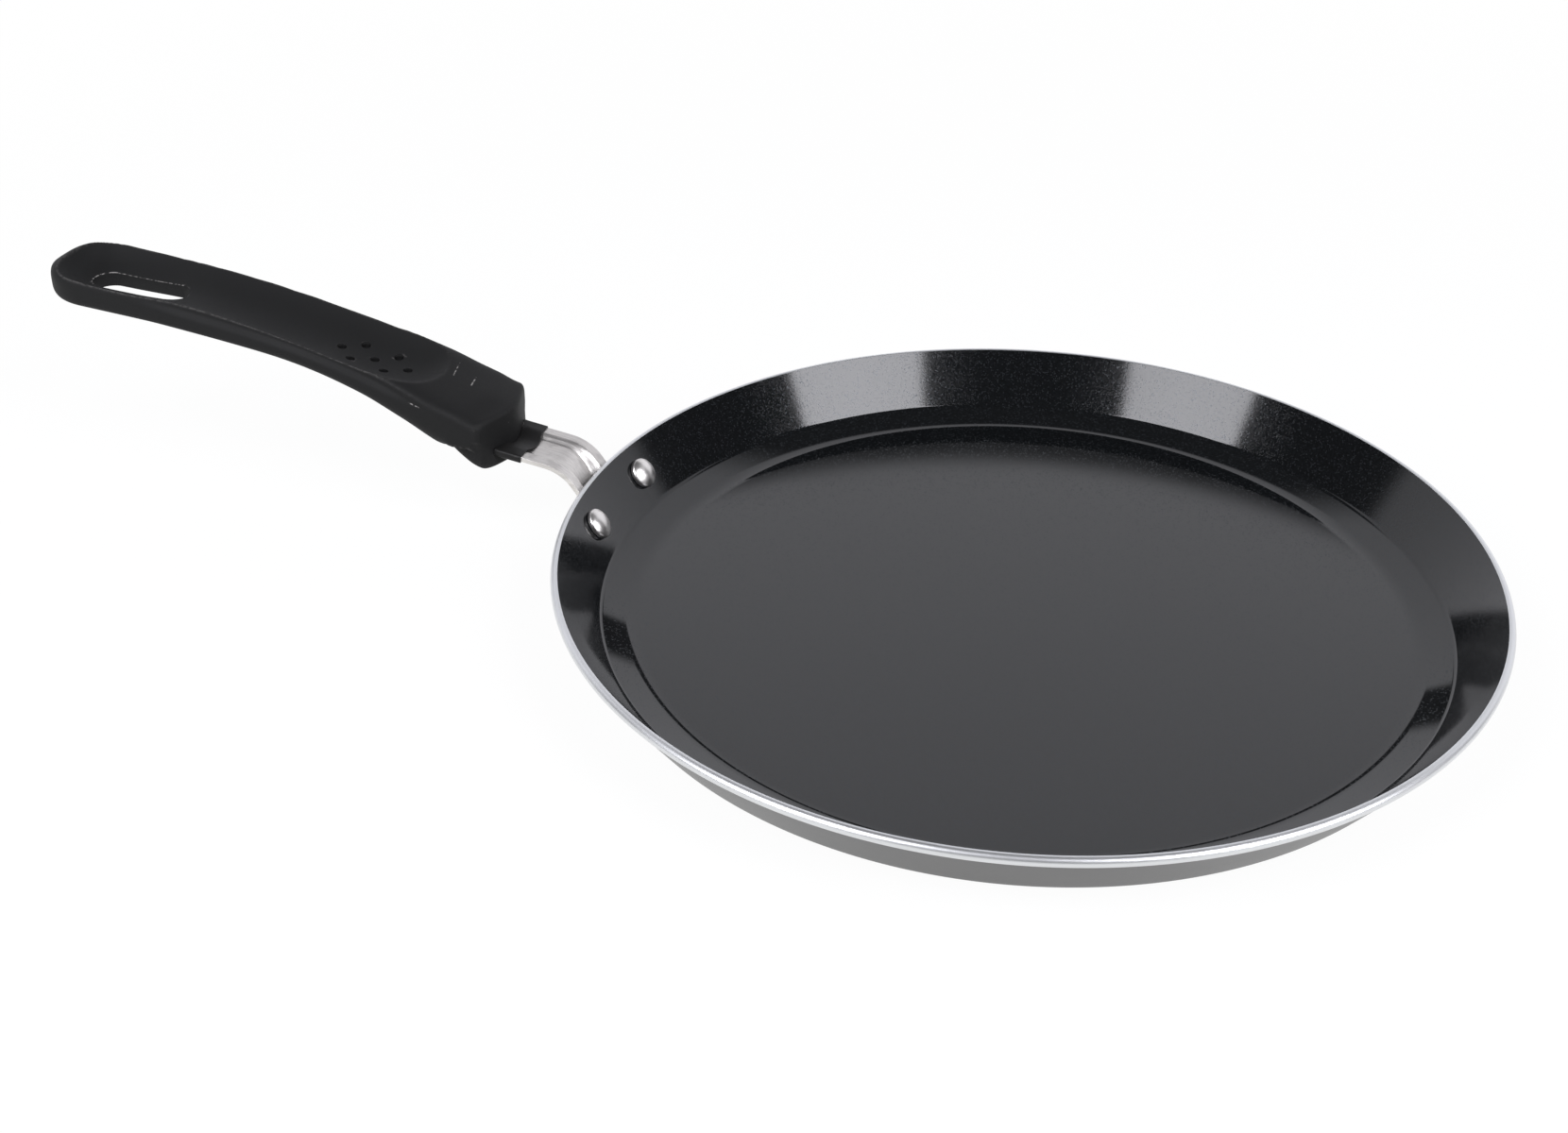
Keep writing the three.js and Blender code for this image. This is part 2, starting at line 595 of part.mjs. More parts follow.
function handleGrip() {
  const tangPocket = sheet(FACE_AT - SLEEVE_LENGTH, STRAP_LENGTH + FIT, FIT, TANG_STEPS, 0);
  const below = GRIP_WIDTH;
  return cut(gripBlank(), [
    dishTool(),
    slotTool(),
    ...dimpleTools(),
    tangPocket,
    screwTool(SCREW_RADIUS + FIT, WASHER_TOP, TANG_POCKET),
    screwTool(SCREW_RECESS_DIAMETER / 2, -below, WASHER_TOP + SEAT),
    screwTool(INSERT_DIAMETER / 2 + FIT, 0, INSERT_TOP + FIT),
  ]);
}

// The screw: a low domed head below, with a cross recess, and a shank up through the tang into the insert.
function gripScrew() {
  const crown = SCREW_HEAD_HEIGHT / 2;
  const head = dome(SCREW_HEAD_DIAMETER / 2, -crown, HEAD_TOP - crown).reverse();
  const tip = INSERT_FOOT + SCREW_ENGAGEMENT;
  const body = turned([
    ...head,
    new THREE.Vector2(SCREW_HEAD_DIAMETER / 2, HEAD_TOP),
    new THREE.Vector2(SCREW_RADIUS, HEAD_TOP),
    new THREE.Vector2(SCREW_RADIUS, tip),
    new THREE.Vector2(0, tip),
  ], ROUND_SEGMENTS);
  const bar = new THREE.BoxGeometry(DRIVE_LENGTH, DRIVE_WIDTH, 2 * DRIVE_DEPTH);
  bar.translate(0, 0, HEAD_TOP - SCREW_HEAD_HEIGHT);
  return cut(body, [bar.clone().rotateZ(Math.PI / 2), bar]);
}

// A split ring under the screw's head.
function springWasher() {
  const outer = WASHER_DIAMETER / 2;
  const inner = SCREW_RADIUS + SEAT;
  const ring = new THREE.Shape();
  const gap = (radius) => Math.asin(WASHER_SPLIT / 2 / radius);
  ring.absarc(0, 0, outer, gap(outer), 2 * Math.PI - gap(outer), false);
  ring.absarc(0, 0, inner, 2 * Math.PI - gap(inner), gap(inner), true);
  const washer = new THREE.ExtrudeGeometry(ring, {
    depth: WASHER_THICKNESS,
    curveSegments: ROUND_SEGMENTS,
    bevelEnabled: false,
  });
  return washer.translate(0, 0, WASHER_TOP - WASHER_THICKNESS);
}

function screwInsert() {
  const outer = INSERT_DIAMETER / 2;
  const inner = SCREW_RADIUS + SEAT;
  const profile = [
    new THREE.Vector2(inner, INSERT_FOOT),
    new THREE.Vector2(outer, INSERT_FOOT),
    new THREE.Vector2(outer, INSERT_TOP),
    new THREE.Vector2(inner, INSERT_TOP),
    new THREE.Vector2(inner, INSERT_FOOT),
  ];
  return turned(profile, ROUND_SEGMENTS);
}

const coating = finish(0x2b2b2e, 0.4, 0.1);
const steel = finish(0xb9b8b4, 0.3, 1);
const rivetMetal = finish(0xc9c6c0, 0.15, 1);
const blackSleeve = finish(0x1d1d1c, 0.6, 0);
const blackGrip = finish(0x242525, 0.65, 0);
const screwMetal = finish(0xa9aaac, 0.35, 1);
const brass = finish(0xb08d4c, 0.35, 1);

function placed(mesh, frame) {
  mesh.applyMatrix4(frame);
  return mesh;
}

const pan = new THREE.Group();
pan.add(
  piece('pan_body', panBody(), coating),
  placed(piece('rivet_left', rivet(), rivetMetal), rivetFrame(-1)),
  placed(piece('rivet_right', rivet(), rivetMetal), rivetFrame(1)),
  piece('handle_strap', handleStrap(), steel),
  piece('strap_sleeve', strapSleeve(), blackSleeve),
  piece('handle_grip', handleGrip(), blackGrip),
  placed(piece('grip_screw', gripScrew(), screwMetal), screwFrame()),
  placed(piece('spring_washer', springWasher(), screwMetal), screwFrame()),
  placed(piece('screw_insert', screwInsert(), brass), screwFrame()),
);
pan.rotation.z = Math.PI;

export default pan;
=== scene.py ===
"""Crepe pan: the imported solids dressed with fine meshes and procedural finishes, in a plain studio.

Sizes are millimetres in the classes and metres in the meshes. The pan stands on the floor at the origin
and its grip points along -X. The strap, the sleeve, the grip and the fixings are shaped with the grip
along +X and turned round at the end, as in the part's own source.
"""

import logging
import math
from dataclasses import dataclass, field
from enum import Enum
from typing import Any, Optional, Sequence, Union

import bmesh
import bpy
from mathutils import Matrix, Vector


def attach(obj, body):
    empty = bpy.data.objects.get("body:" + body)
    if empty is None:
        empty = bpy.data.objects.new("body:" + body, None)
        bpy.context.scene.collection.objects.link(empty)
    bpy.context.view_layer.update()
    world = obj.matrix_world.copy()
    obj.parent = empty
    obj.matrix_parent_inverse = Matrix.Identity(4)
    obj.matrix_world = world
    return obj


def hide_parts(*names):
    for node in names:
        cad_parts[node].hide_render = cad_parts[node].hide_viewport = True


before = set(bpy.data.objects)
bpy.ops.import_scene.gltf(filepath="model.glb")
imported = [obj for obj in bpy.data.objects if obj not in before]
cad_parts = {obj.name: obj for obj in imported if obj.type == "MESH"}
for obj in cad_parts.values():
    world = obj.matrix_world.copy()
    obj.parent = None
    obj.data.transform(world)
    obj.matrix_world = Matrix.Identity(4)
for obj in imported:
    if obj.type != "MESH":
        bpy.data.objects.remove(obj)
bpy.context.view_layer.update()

LOG = logging.getLogger("crepe_pan")
MM = 0.001
HALF_TURN = Matrix.Rotation(math.pi, 4, "Z")

Number = Union[int, float]
Feed = Union["Shade", Number, Sequence[float]]
Sockets = dict[Union[str, int], Feed]


class MaterialSlot(Enum):
    """The record's material slots."""

    PAN = "pan"
    RIVETS = "rivets"
    STRAP = "strap"
    SLEEVE = "sleeve"
    GRIP = "grip"
    FIXINGS = "fixings"
    INSERT = "insert"


class PanZone(Enum):
    """The finishes of the pan body, in the order of its material slots."""

    COATING = 0
    RIM = 1
    LACQUER = 2
    BASE = 3


class Shade:
    """A shader socket that takes part in Python expressions."""

    def __init__(self, graph: "NodeGraph", socket: Optional[bpy.types.NodeSocket]) -> None:
        """Keeps the graph and its socket, which an output node doesn't have."""
        self.graph = graph
        self.socket = socket

    def _math(self, operation: str, first: Feed, second: Feed = 0.0) -> "Shade":
        """Adds a Math node.

        Args:
            operation: the node's operation.
            first: its first value.
            second: its second value, where the operation has one.

        Returns:
            The node's result.
        """
        return self.graph.node("ShaderNodeMath", {"operation": operation}, {0: first, 1: second})

    def __add__(self, other: Feed) -> "Shade":
        """Sum."""
        return self._math("ADD", self, other)

    __radd__ = __add__

    def __sub__(self, other: Feed) -> "Shade":
        """Difference."""
        return self._math("SUBTRACT", self, other)

    def __rsub__(self, other: Feed) -> "Shade":
        """Difference from a number."""
        return self._math("SUBTRACT", other, self)

    def __mul__(self, other: Feed) -> "Shade":
        """Product."""
        return self._math("MULTIPLY", self, other)

    __rmul__ = __mul__

    def __pow__(self, other: Feed) -> "Shade":
        """Power."""
        return self._math("POWER", self, other)

    def __abs__(self) -> "Shade":
        """Absolute value."""
        return self._math("ABSOLUTE", self)

    def sine(self) -> "Shade":
        """Sine of the value in radians."""
        return self._math("SINE", self)

    def angle(self, along: "Shade") -> "Shade":
        """The angle in radians of a direction that runs this far across and that far along."""
        return self._math("ARCTAN2", self, along)

    def least(self, other: Feed) -> "Shade":
        """The smaller of two values."""
        return self._math("MINIMUM", self, other)

    def most(self, other: Feed) -> "Shade":
        """The larger of two values."""
        return self._math("MAXIMUM", self, other)

    def eased(self, low: float, high: float) -> "Shade":
        """A smooth step from 0 at low to 1 at high; high may be the smaller."""
        settings = {"interpolation_type": "SMOOTHSTEP", "clamp": True}
        if low < high:
            return self.graph.node("ShaderNodeMapRange", settings, {0: self, 1: low, 2: high})
        return 1 - self.graph.node("ShaderNodeMapRange", settings, {0: self, 1: high, 2: low})


class NodeGraph:
    """A shader node tree, filled through one method."""

    def __init__(self, owner: Union[bpy.types.Material, bpy.types.World]) -> None:
        """Empties the owner's node tree."""
        owner.use_nodes = True
        self.tree = owner.node_tree
        self.tree.nodes.clear()

    def node(
        self,
        kind: str,
        settings: Optional[dict[str, Any]] = None,
        inputs: Optional[Sockets] = None,
        output: Union[str, int] = 0,
    ) -> Shade:
        """Adds one node.

        Args:
            kind: the node's type.
            settings: its properties, which are set first.
            inputs: values or links of its sockets, by name or number.
            output: the socket to return.

        Returns:
            The output socket.
        """
        made = self.tree.nodes.new(kind)
        for name, value in (settings or {}).items():
            setattr(made, name, value)
        for name, value in (inputs or {}).items():
            if isinstance(value, Shade):
                self.tree.links.new(value.socket, made.inputs[name])
            else:
                made.inputs[name].default_value = value
        return Shade(self, made.outputs[output] if made.outputs else None)

    def place(self) -> Shade:
        """Object coordinates, in metres."""
        return self.node("ShaderNodeTexCoord", output="Object")

    def parts(self, vector: Shade) -> tuple[Shade, Shade, Shade]:
        """The X, Y and Z of a vector."""
        split = self.node("ShaderNodeSeparateXYZ", inputs={0: vector}).socket.node
        return Shade(self, split.outputs[0]), Shade(self, split.outputs[1]), Shade(self, split.outputs[2])

    def joined(self, x: Feed, y: Feed, z: Feed) -> Shade:
        """A vector from three values."""
        return self.node("ShaderNodeCombineXYZ", inputs={0: x, 1: y, 2: z})

    def scaled(self, vector: Shade, by: Sequence[float]) -> Shade:
        """A vector stretched along its axes."""
        return self.node("ShaderNodeVectorMath", {"operation": "MULTIPLY"}, {0: vector, 1: by})

    def noise(self, vector: Shade, scale: float, detail: float = 2.0, rough: float = 0.5) -> Shade:
        """Noise between 0 and 1."""
        inputs = {"Vector": vector, "Scale": scale, "Detail": detail, "Roughness": rough}
        return self.node("ShaderNodeTexNoise", {}, inputs)

    def flecks(self, vector: Shade, scale: float, size: float, share: float) -> Shade:
        """Scattered round flecks.

        Args:
            vector: where they are read.
            scale: cells in a metre.
            size: a fleck's radius, in cells.
            share: the share of the cells that have one.

        Returns:
            A mask, 1 inside a fleck.
        """
        cells = self.node("ShaderNodeTexVoronoi", {}, {"Vector": vector, "Scale": scale}).socket.node
        near = Shade(self, cells.outputs["Distance"]).eased(size, 0.5 * size)
        lot, _, _ = self.parts(Shade(self, cells.outputs["Color"]))
        return near * lot.eased(share, share - 0.01)

    def mixed(self, factor: Feed, first: Feed, second: Feed) -> Shade:
        """A colour between two colours."""
        inputs = {0: factor, 6: first, 7: second}
        return self.node("ShaderNodeMix", {"data_type": "RGBA"}, inputs, output=2)

    def bumped(
        self, height: Shade, depth: float, strength: float = 1.0, below: Optional[Shade] = None
    ) -> Shade:
        """A normal from a height.

        Args:
            height: the height between 0 and 1.
            depth: the relief in metres.
            strength: the share of the relief that shows.
            below: a normal to lay it on.

        Returns:
            The bumped normal.
        """
        inputs: Sockets = {"Height": height, "Distance": depth, "Strength": strength}
        if below is not None:
            inputs["Normal"] = below
        return self.node("ShaderNodeBump", {}, inputs)

    def surface(
        self,
        inputs: Sockets,
        dulled: Optional[Shade] = None,
        dull: Feed = (0.0, 0.0, 0.0, 1.0),
    ) -> None:
        """Ends a material in a Principled shader.

        Args:
            inputs: the shader's sockets.
            dulled: a mask of places painted dark and matt, as painted shade.
            dull: the colour of that painted shade.
        """
        shader = self.node("ShaderNodeBsdfPrincipled", {}, inputs)
        if dulled is not None:
            matt = self.node("ShaderNodeBsdfDiffuse", {}, {"Color": dull})
            shader = self.node("ShaderNodeMixShader", {}, {0: dulled, 1: shader, 2: matt})
        self.node("ShaderNodeOutputMaterial", {}, {"Surface": shader})


def grey(value: float, warm: float = 0.0) -> tuple[float, float, float, float]:
    """A grey colour, a little warm or, below zero, a little blue."""
    return (value * (1 + warm), value, value * (1 - warm), 1.0)


def new_material(name: str) -> tuple[bpy.types.Material, NodeGraph]:
    """A new material and its empty graph."""
    material = bpy.data.materials.new(name)
    return material, NodeGraph(material)


class Finish:
    """A procedural finish: each kind gives its name and its shader's sockets."""

    name = ""

    def sockets(self, g: NodeGraph, place: Shade) -> Sockets:
        """The finish's sockets, from its graph and the object coordinates."""
        raise NotImplementedError

    def material(self) -> bpy.types.Material:
        """A new material with this finish."""
        material, g = new_material(self.name)
        g.surface(self.sockets(g, g.place()))
        return material


@dataclass(frozen=True)
class NonStickCoating(Finish):
    """The dark coating inside the pan: a glossy skin with a fine grain and sparkling flakes."""

    name = "non_stick_coating"
    dark: float = 0.0028
    light: float = 0.006
    flake: float = 0.03
    flakes_per_metre: float = 2600.0
    gloss: float = 0.04
    wall_from: float = 4.4 * MM
    wall_to: float = 5.6 * MM

    def sockets(self, g: NodeGraph, place: Shade) -> Sockets:
        """The coating's sockets."""
        grain = g.noise(place, 1500.0, 3.0, 0.6)
        cloud = g.noise(place, 26.0, 2.0)
        spread = {"Vector": place, "Scale": self.flakes_per_metre}
        cells = g.node("ShaderNodeTexVoronoi", {}, spread).socket.node
        tilt, lot, _ = g.parts(Shade(g, cells.outputs["Color"]))
        flakes = lot.eased(0.86, 0.97)
        _, _, z = g.parts(place)
        wall = z.eased(self.wall_from, self.wall_to)
        tone = g.mixed(grain.eased(0.3, 0.72), grey(self.dark, -0.1), grey(self.light, -0.14))
        return {
            "Base Color": g.mixed(flakes, tone, grey(self.flake, -0.1)),
            "Roughness": self.gloss + wall * 0.03 + flakes * 0.1 + (cloud - 0.5) * 0.02,
            "Metallic": flakes * 0.5,
            "Specular IOR Level": 0.48,
            "Normal": g.bumped(grain * wall, 0.00004, 0.22, g.bumped(tilt * wall, 0.00002, 0.22)),
        }


@dataclass(frozen=True)
class PolishedRim(Finish):
    """The bare turned and polished metal of the rim bead."""

    name = "polished_rim"
    tone: float = 0.7
    roughness: float = 0.34

    def sockets(self, g: NodeGraph, place: Shade) -> Sockets:
        """The rim's sockets."""
        x, y, z = g.parts(place)
        radius = (x * x + y * y) ** 0.5
        turning = g.noise(g.joined(radius, z, 0.0), 5200.0, 2.0)
        smear = g.noise(place, 60.0, 3.0)
        return {
            "Base Color": g.mixed(smear, grey(self.tone, -0.012), grey(self.tone * 1.12, -0.02)),
            "Roughness": self.roughness + turning * 0.06 + smear * 0.05,
            "Metallic": 1.0,
            "Normal": g.bumped(turning, 0.00001, 0.1),
        }


@dataclass(frozen=True)
class SatinLacquer(Finish):
    """The satin grey lacquer on the outside of the wall."""

    name = "satin_lacquer"
    tone: float = 0.042
    roughness: float = 0.36

    def sockets(self, g: NodeGraph, place: Shade) -> Sockets:
        """The lacquer's sockets."""
        flake = g.noise(place, 4200.0, 2.0)
        cloud = g.noise(place, 34.0, 3.0)
        mottle = g.mixed(cloud.eased(0.3, 0.7), grey(self.tone * 0.88, 0.012), grey(self.tone, 0.008))
        return {
            "Base Color": g.mixed(flake.eased(0.62, 0.8), mottle, grey(self.tone * 1.35)),
            "Roughness": self.roughness + (flake - 0.5) * 0.1 + (cloud - 0.5) * 0.08,
            "Metallic": 0.3,
            "Specular IOR Level": 0.4,
            "Coat Weight": 0.04 + cloud * 0.04,
            "Coat Roughness": 0.25,
            "Normal": g.bumped(flake, 0.00002, 0.25),
        }


@dataclass(frozen=True)
class TurnedBase(Finish):
    """The bare base under the pan, turned in fine rings and marked by use."""

    name = "turned_base"
    tone: float = 0.56
    ring_pitch_mm: float = 1.6

    def sockets(self, g: NodeGraph, place: Shade) -> Sockets:
        """The base's sockets."""
        x, y, _ = g.parts(place)
        radius = (x * x + y * y) ** 0.5
        ring = (radius * (2 * math.pi / (self.ring_pitch_mm * MM))).sine() * 0.5 + 0.5
        fine = g.noise(g.joined(radius, 0.0, 0.0), 2600.0, 3.0)
        worn = g.noise(place, 45.0, 4.0).eased(0.45, 0.75)
        tone = g.mixed(fine, grey(self.tone * 0.8), grey(self.tone * 1.1))
        return {
            "Base Color": g.mixed(worn * 0.6, tone, grey(self.tone * 0.5, 0.05)),
            "Roughness": 0.24 + fine * 0.16 + worn * 0.2,
            "Metallic": 1.0,
            "Normal": g.bumped(fine, 0.00002, 0.4, g.bumped(ring, 0.00012, 0.6)),
        }


@dataclass(frozen=True)
class PolishedRivet(Finish):
    """The polished rivets, with faint marks of the tool that set them."""

    name = "polished_rivet"
    tone: float = 0.8
    roughness: float = 0.3

    def sockets(self, g: NodeGraph, place: Shade) -> Sockets:
        """The rivets' sockets."""
        marks = g.noise(g.scaled(place, (1.0, 0.25, 1.0)), 2400.0, 3.0)
        smear = g.noise(place, 320.0, 2.0)
        return {
            "Base Color": g.mixed(smear, grey(self.tone * 0.92, 0.02), grey(self.tone, 0.03)),
            "Roughness": self.roughness + smear.eased(0.4, 0.8) * 0.1 + marks * 0.03,
            "Metallic": 1.0,
            "Normal": g.bumped(smear, 0.00006, 0.25, g.bumped(marks, 0.00001, 0.5)),
        }


@dataclass(frozen=True)
class DrawnSteel(Finish):
    """The strap's satin steel, streaked along its length, with small pits and rubbed marks."""

    name = "drawn_steel"
    tone: float = 0.7
    roughness: float = 0.36
    streak: tuple[float, float, float] = (90.0, 2600.0, 700.0)

    def sockets(self, g: NodeGraph, place: Shade) -> Sockets:
        """The strap's sockets."""
        streak = g.noise(g.scaled(place, self.streak), 1.0, 3.0, 0.6)
        fine = g.noise(g.scaled(place, (260.0, 6500.0, 2200.0)), 1.0, 2.0)
        pits = g.flecks(place, 900.0, 0.26, 0.035) * g.noise(place, 120.0, 2.0).eased(0.5, 0.62)
        rubbed = g.noise(g.scaled(place, (1.0, 1.6, 1.0)), 210.0, 4.0).eased(0.56, 0.74)
        tone = g.mixed(streak.eased(0.3, 0.7), grey(self.tone * 0.84, 0.035), grey(self.tone * 1.06, 0.03))
        dulled = g.mixed(rubbed * 0.35, tone, grey(self.tone * 0.6, 0.03))
        return {
            "Base Color": g.mixed(pits * 0.8, dulled, grey(0.16, 0.03)),
            "Roughness": self.roughness + streak * 0.1 + rubbed * 0.12 + pits * 0.25,
            "Metallic": 1.0,
            "Normal": g.bumped(fine, 0.00001, 0.3, g.bumped(streak - pits, 0.00003, 0.25)),
        }


@dataclass(frozen=True)
class BlackSleeve(Finish):
    """The thin black sleeve on the strap."""

    name = "black_sleeve"
    tone: float = 0.009
    roughness: float = 0.46

    def sockets(self, g: NodeGraph, place: Shade) -> Sockets:
        """The sleeve's sockets."""
        grain = g.noise(place, 2600.0, 3.0)
        cloud = g.noise(place, 240.0, 2.0)
        rubbed = g.noise(g.scaled(place, (1.0, 2.0, 1.0)), 520.0, 3.0).eased(0.66, 0.78)
        tone = g.mixed(cloud, grey(self.tone * 0.8, 0.02), grey(self.tone * 1.2, 0.02))
        return {
            "Base Color": g.mixed(rubbed * 0.5, tone, grey(0.07, 0.02)),
            "Roughness": self.roughness + (cloud - 0.5) * 0.16,
            "Metallic": 0.0,
            "Specular IOR Level": 0.2,
            "Normal": g.bumped(grain, 0.00003, 0.4),
        }


@dataclass(frozen=True)
class ZincPlate(Finish):
    """The plated screw and its washer."""

    name = "zinc_plate"
    tone: float = 0.58

    def sockets(self, g: NodeGraph, place: Shade) -> Sockets:
        """The plated steel's sockets."""
        cloud = g.noise(place, 700.0, 3.0)
        fine = g.noise(place, 5000.0, 2.0)
        return {
            "Base Color": g.mixed(cloud, grey(self.tone * 0.75, 0.03), grey(self.tone * 1.1, -0.02)),
            "Roughness": 0.28 + cloud * 0.16,
            "Metallic": 1.0,
            "Normal": g.bumped(fine, 0.00001, 0.5),
        }


@dataclass(frozen=True)
class TurnedBrass(Finish):
    """The brass insert in the grip."""

    name = "turned_brass"
    light: tuple[float, float, float, float] = (0.69, 0.5, 0.22, 1.0)
    dull: tuple[float, float, float, float] = (0.42, 0.29, 0.12, 1.0)

    def sockets(self, g: NodeGraph, place: Shade) -> Sockets:
        """The brass's sockets."""
        cloud = g.noise(place, 520.0, 3.0)
        rings = g.noise(g.scaled(place, (0.2, 0.2, 1.0)), 3000.0, 2.0)
        return {
            "Base Color": g.mixed(cloud.eased(0.3, 0.75), self.light, self.dull),
            "Roughness": 0.26 + rings * 0.16,
            "Metallic": 1.0,
            "Normal": g.bumped(rings, 0.00002, 0.5),
        }


@dataclass
class Profile:
    """A line in the radius and height plane, drawn with operators and turned about the Z axis."""

    mesh: bmesh.types.BMesh = field(default_factory=bmesh.new)
    end: Optional[bmesh.types.BMVert] = None

    def start(self, radius: float, height: float) -> "Profile":
        """Sets the line's first point, in mm."""
        self.end = self.mesh.verts.new((radius * MM, 0.0, height * MM))
        return self

    def line(self, radius: float, height: float) -> "Profile":
        """Draws a straight line to a point, in mm."""
        made = bmesh.ops.extrude_vert_indiv(self.mesh, verts=[self.end])
        self.end = made["verts"][0]
        self.end.co = Vector((radius * MM, 0.0, height * MM))
        return self

    def arc(self, radius: float, height: float, turn: float, steps: int) -> "Profile":
        """Draws an arc about a centre.

        Args:
            radius: the centre's radius, in mm.
            height: the centre's height, in mm.
            turn: the arc's angle, from +X towards +Z.
            steps: the arc's segments.

        Returns:
            This profile.
        """
        made = bmesh.ops.spin(
            self.mesh,
            geom=[self.end],
            cent=(radius * MM, 0.0, height * MM),
            axis=(0.0, -1.0, 0.0),
            angle=turn,
            steps=steps,
        )
        self.end = next(part for part in made["geom_last"] if isinstance(part, bmesh.types.BMVert))
        return self

    def turned(self, steps: int) -> bmesh.types.BMesh:
        """Spins the line into a closed shape.

        Args:
            steps: the number of steps of the full turn.

        Returns:
            The mesh, with its doubles merged and its faces outwards.
        """
        bmesh.ops.spin(
            self.mesh,
            geom=self.mesh.verts[:] + self.mesh.edges[:],
            cent=(0.0, 0.0, 0.0),
            axis=(0.0, 0.0, 1.0),
            angle=2 * math.pi,
            steps=steps,
            use_merge=True,
        )
        close_up(self.mesh)
        return self.mesh


def close_up(mesh: bmesh.types.BMesh) -> None:
    """Merges doubles, fills open ends and turns the faces outwards."""
    bmesh.ops.remove_doubles(mesh, verts=mesh.verts[:], dist=1e-7)
    bmesh.ops.dissolve_degenerate(mesh, edges=mesh.edges[:], dist=1e-8)
    bmesh.ops.holes_fill(mesh, edges=mesh.edges[:], sides=0)
    bmesh.ops.recalc_face_normals(mesh, faces=mesh.faces[:])


def to_object(
    name: str,
    mesh: bmesh.types.BMesh,
    materials: Sequence[bpy.types.Material],
    sharp_degrees: float = 40.0,
) -> bpy.types.Object:
    """Makes a shaded object of a bmesh.

    Args:
        name: the object's name.
        mesh: the bmesh, which is freed.
        materials: its materials in slot order.
        sharp_degrees: edges that turn more than this are shaded sharp.

    Returns:
        The object, linked to the scene.
    """
    shade(mesh, sharp_degrees)
    data = bpy.data.meshes.new(name)
    mesh.to_mesh(data)
    mesh.free()
    for material in materials:
        data.materials.append(material)
    made = bpy.data.objects.new(name, data)
    bpy.context.scene.collection.objects.link(made)
    return made


def shade(mesh: bmesh.types.BMesh, sharp_degrees: float) -> None:
    """Shades a mesh smooth, with its sharp edges marked."""
    limit = math.radians(sharp_degrees)
    for face in mesh.faces:
        face.smooth = True
    for edge in mesh.edges:
        edge.smooth = edge.calc_face_angle(math.pi) < limit


def with_modifier(piece: bpy.types.Object, kind: str, settings: dict[str, Any]) -> bpy.types.Object:
    """Adds a modifier to a piece.

    Args:
        piece: the object to change.
        kind: the modifier's type.
        settings: its properties.

    Returns:
        The same object.
    """
    modifier = piece.modifiers.new(kind.lower(), kind)
    for name, value in settings.items():
        setattr(modifier, name, value)
    return piece


def settle(piece: bpy.types.Object) -> None:
    """Makes a piece's modifiers part of its mesh."""
    graph = bpy.context.evaluated_depsgraph_get()
    done = bpy.data.meshes.new_from_object(piece.evaluated_get(graph))
    piece.modifiers.clear()
    piece.data = done


def cut_away(piece: bpy.types.Object, tool: bpy.types.Object) -> None:
    """Cuts a tool's shape out of a piece and removes the tool."""
    with_modifier(piece, "BOOLEAN", {"operation": "DIFFERENCE", "object": tool, "solver": "MANIFOLD"})
    settle(piece)
    bpy.data.objects.remove(tool)


def show(piece: bpy.types.Object, slot: MaterialSlot, *nodes: str) -> bpy.types.Object:
    """Puts a piece on the pan in place of its CAD nodes.

    Args:
        piece: the finished object.
        slot: the record's material slot; not used.
        nodes: the CAD nodes that it stands for.

    Returns:
        The same object.
    """
    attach(piece, "root")
    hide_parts(*nodes)
    LOG.info("%s stands for %s, %d faces", piece.name, ", ".join(nodes), len(piece.data.polygons))
    return piece


def ease(value: float, low: float, high: float) -> float:
    """A smooth step from 0 at low to 1 at high."""
    share = min(1.0, max(0.0, (value - low) / (high - low)))
    return share * share * (3 - 2 * share)


def lerp(first: float, second: float, share: float) -> float:
    """A number between two numbers."""
    return first + (second - first) * share


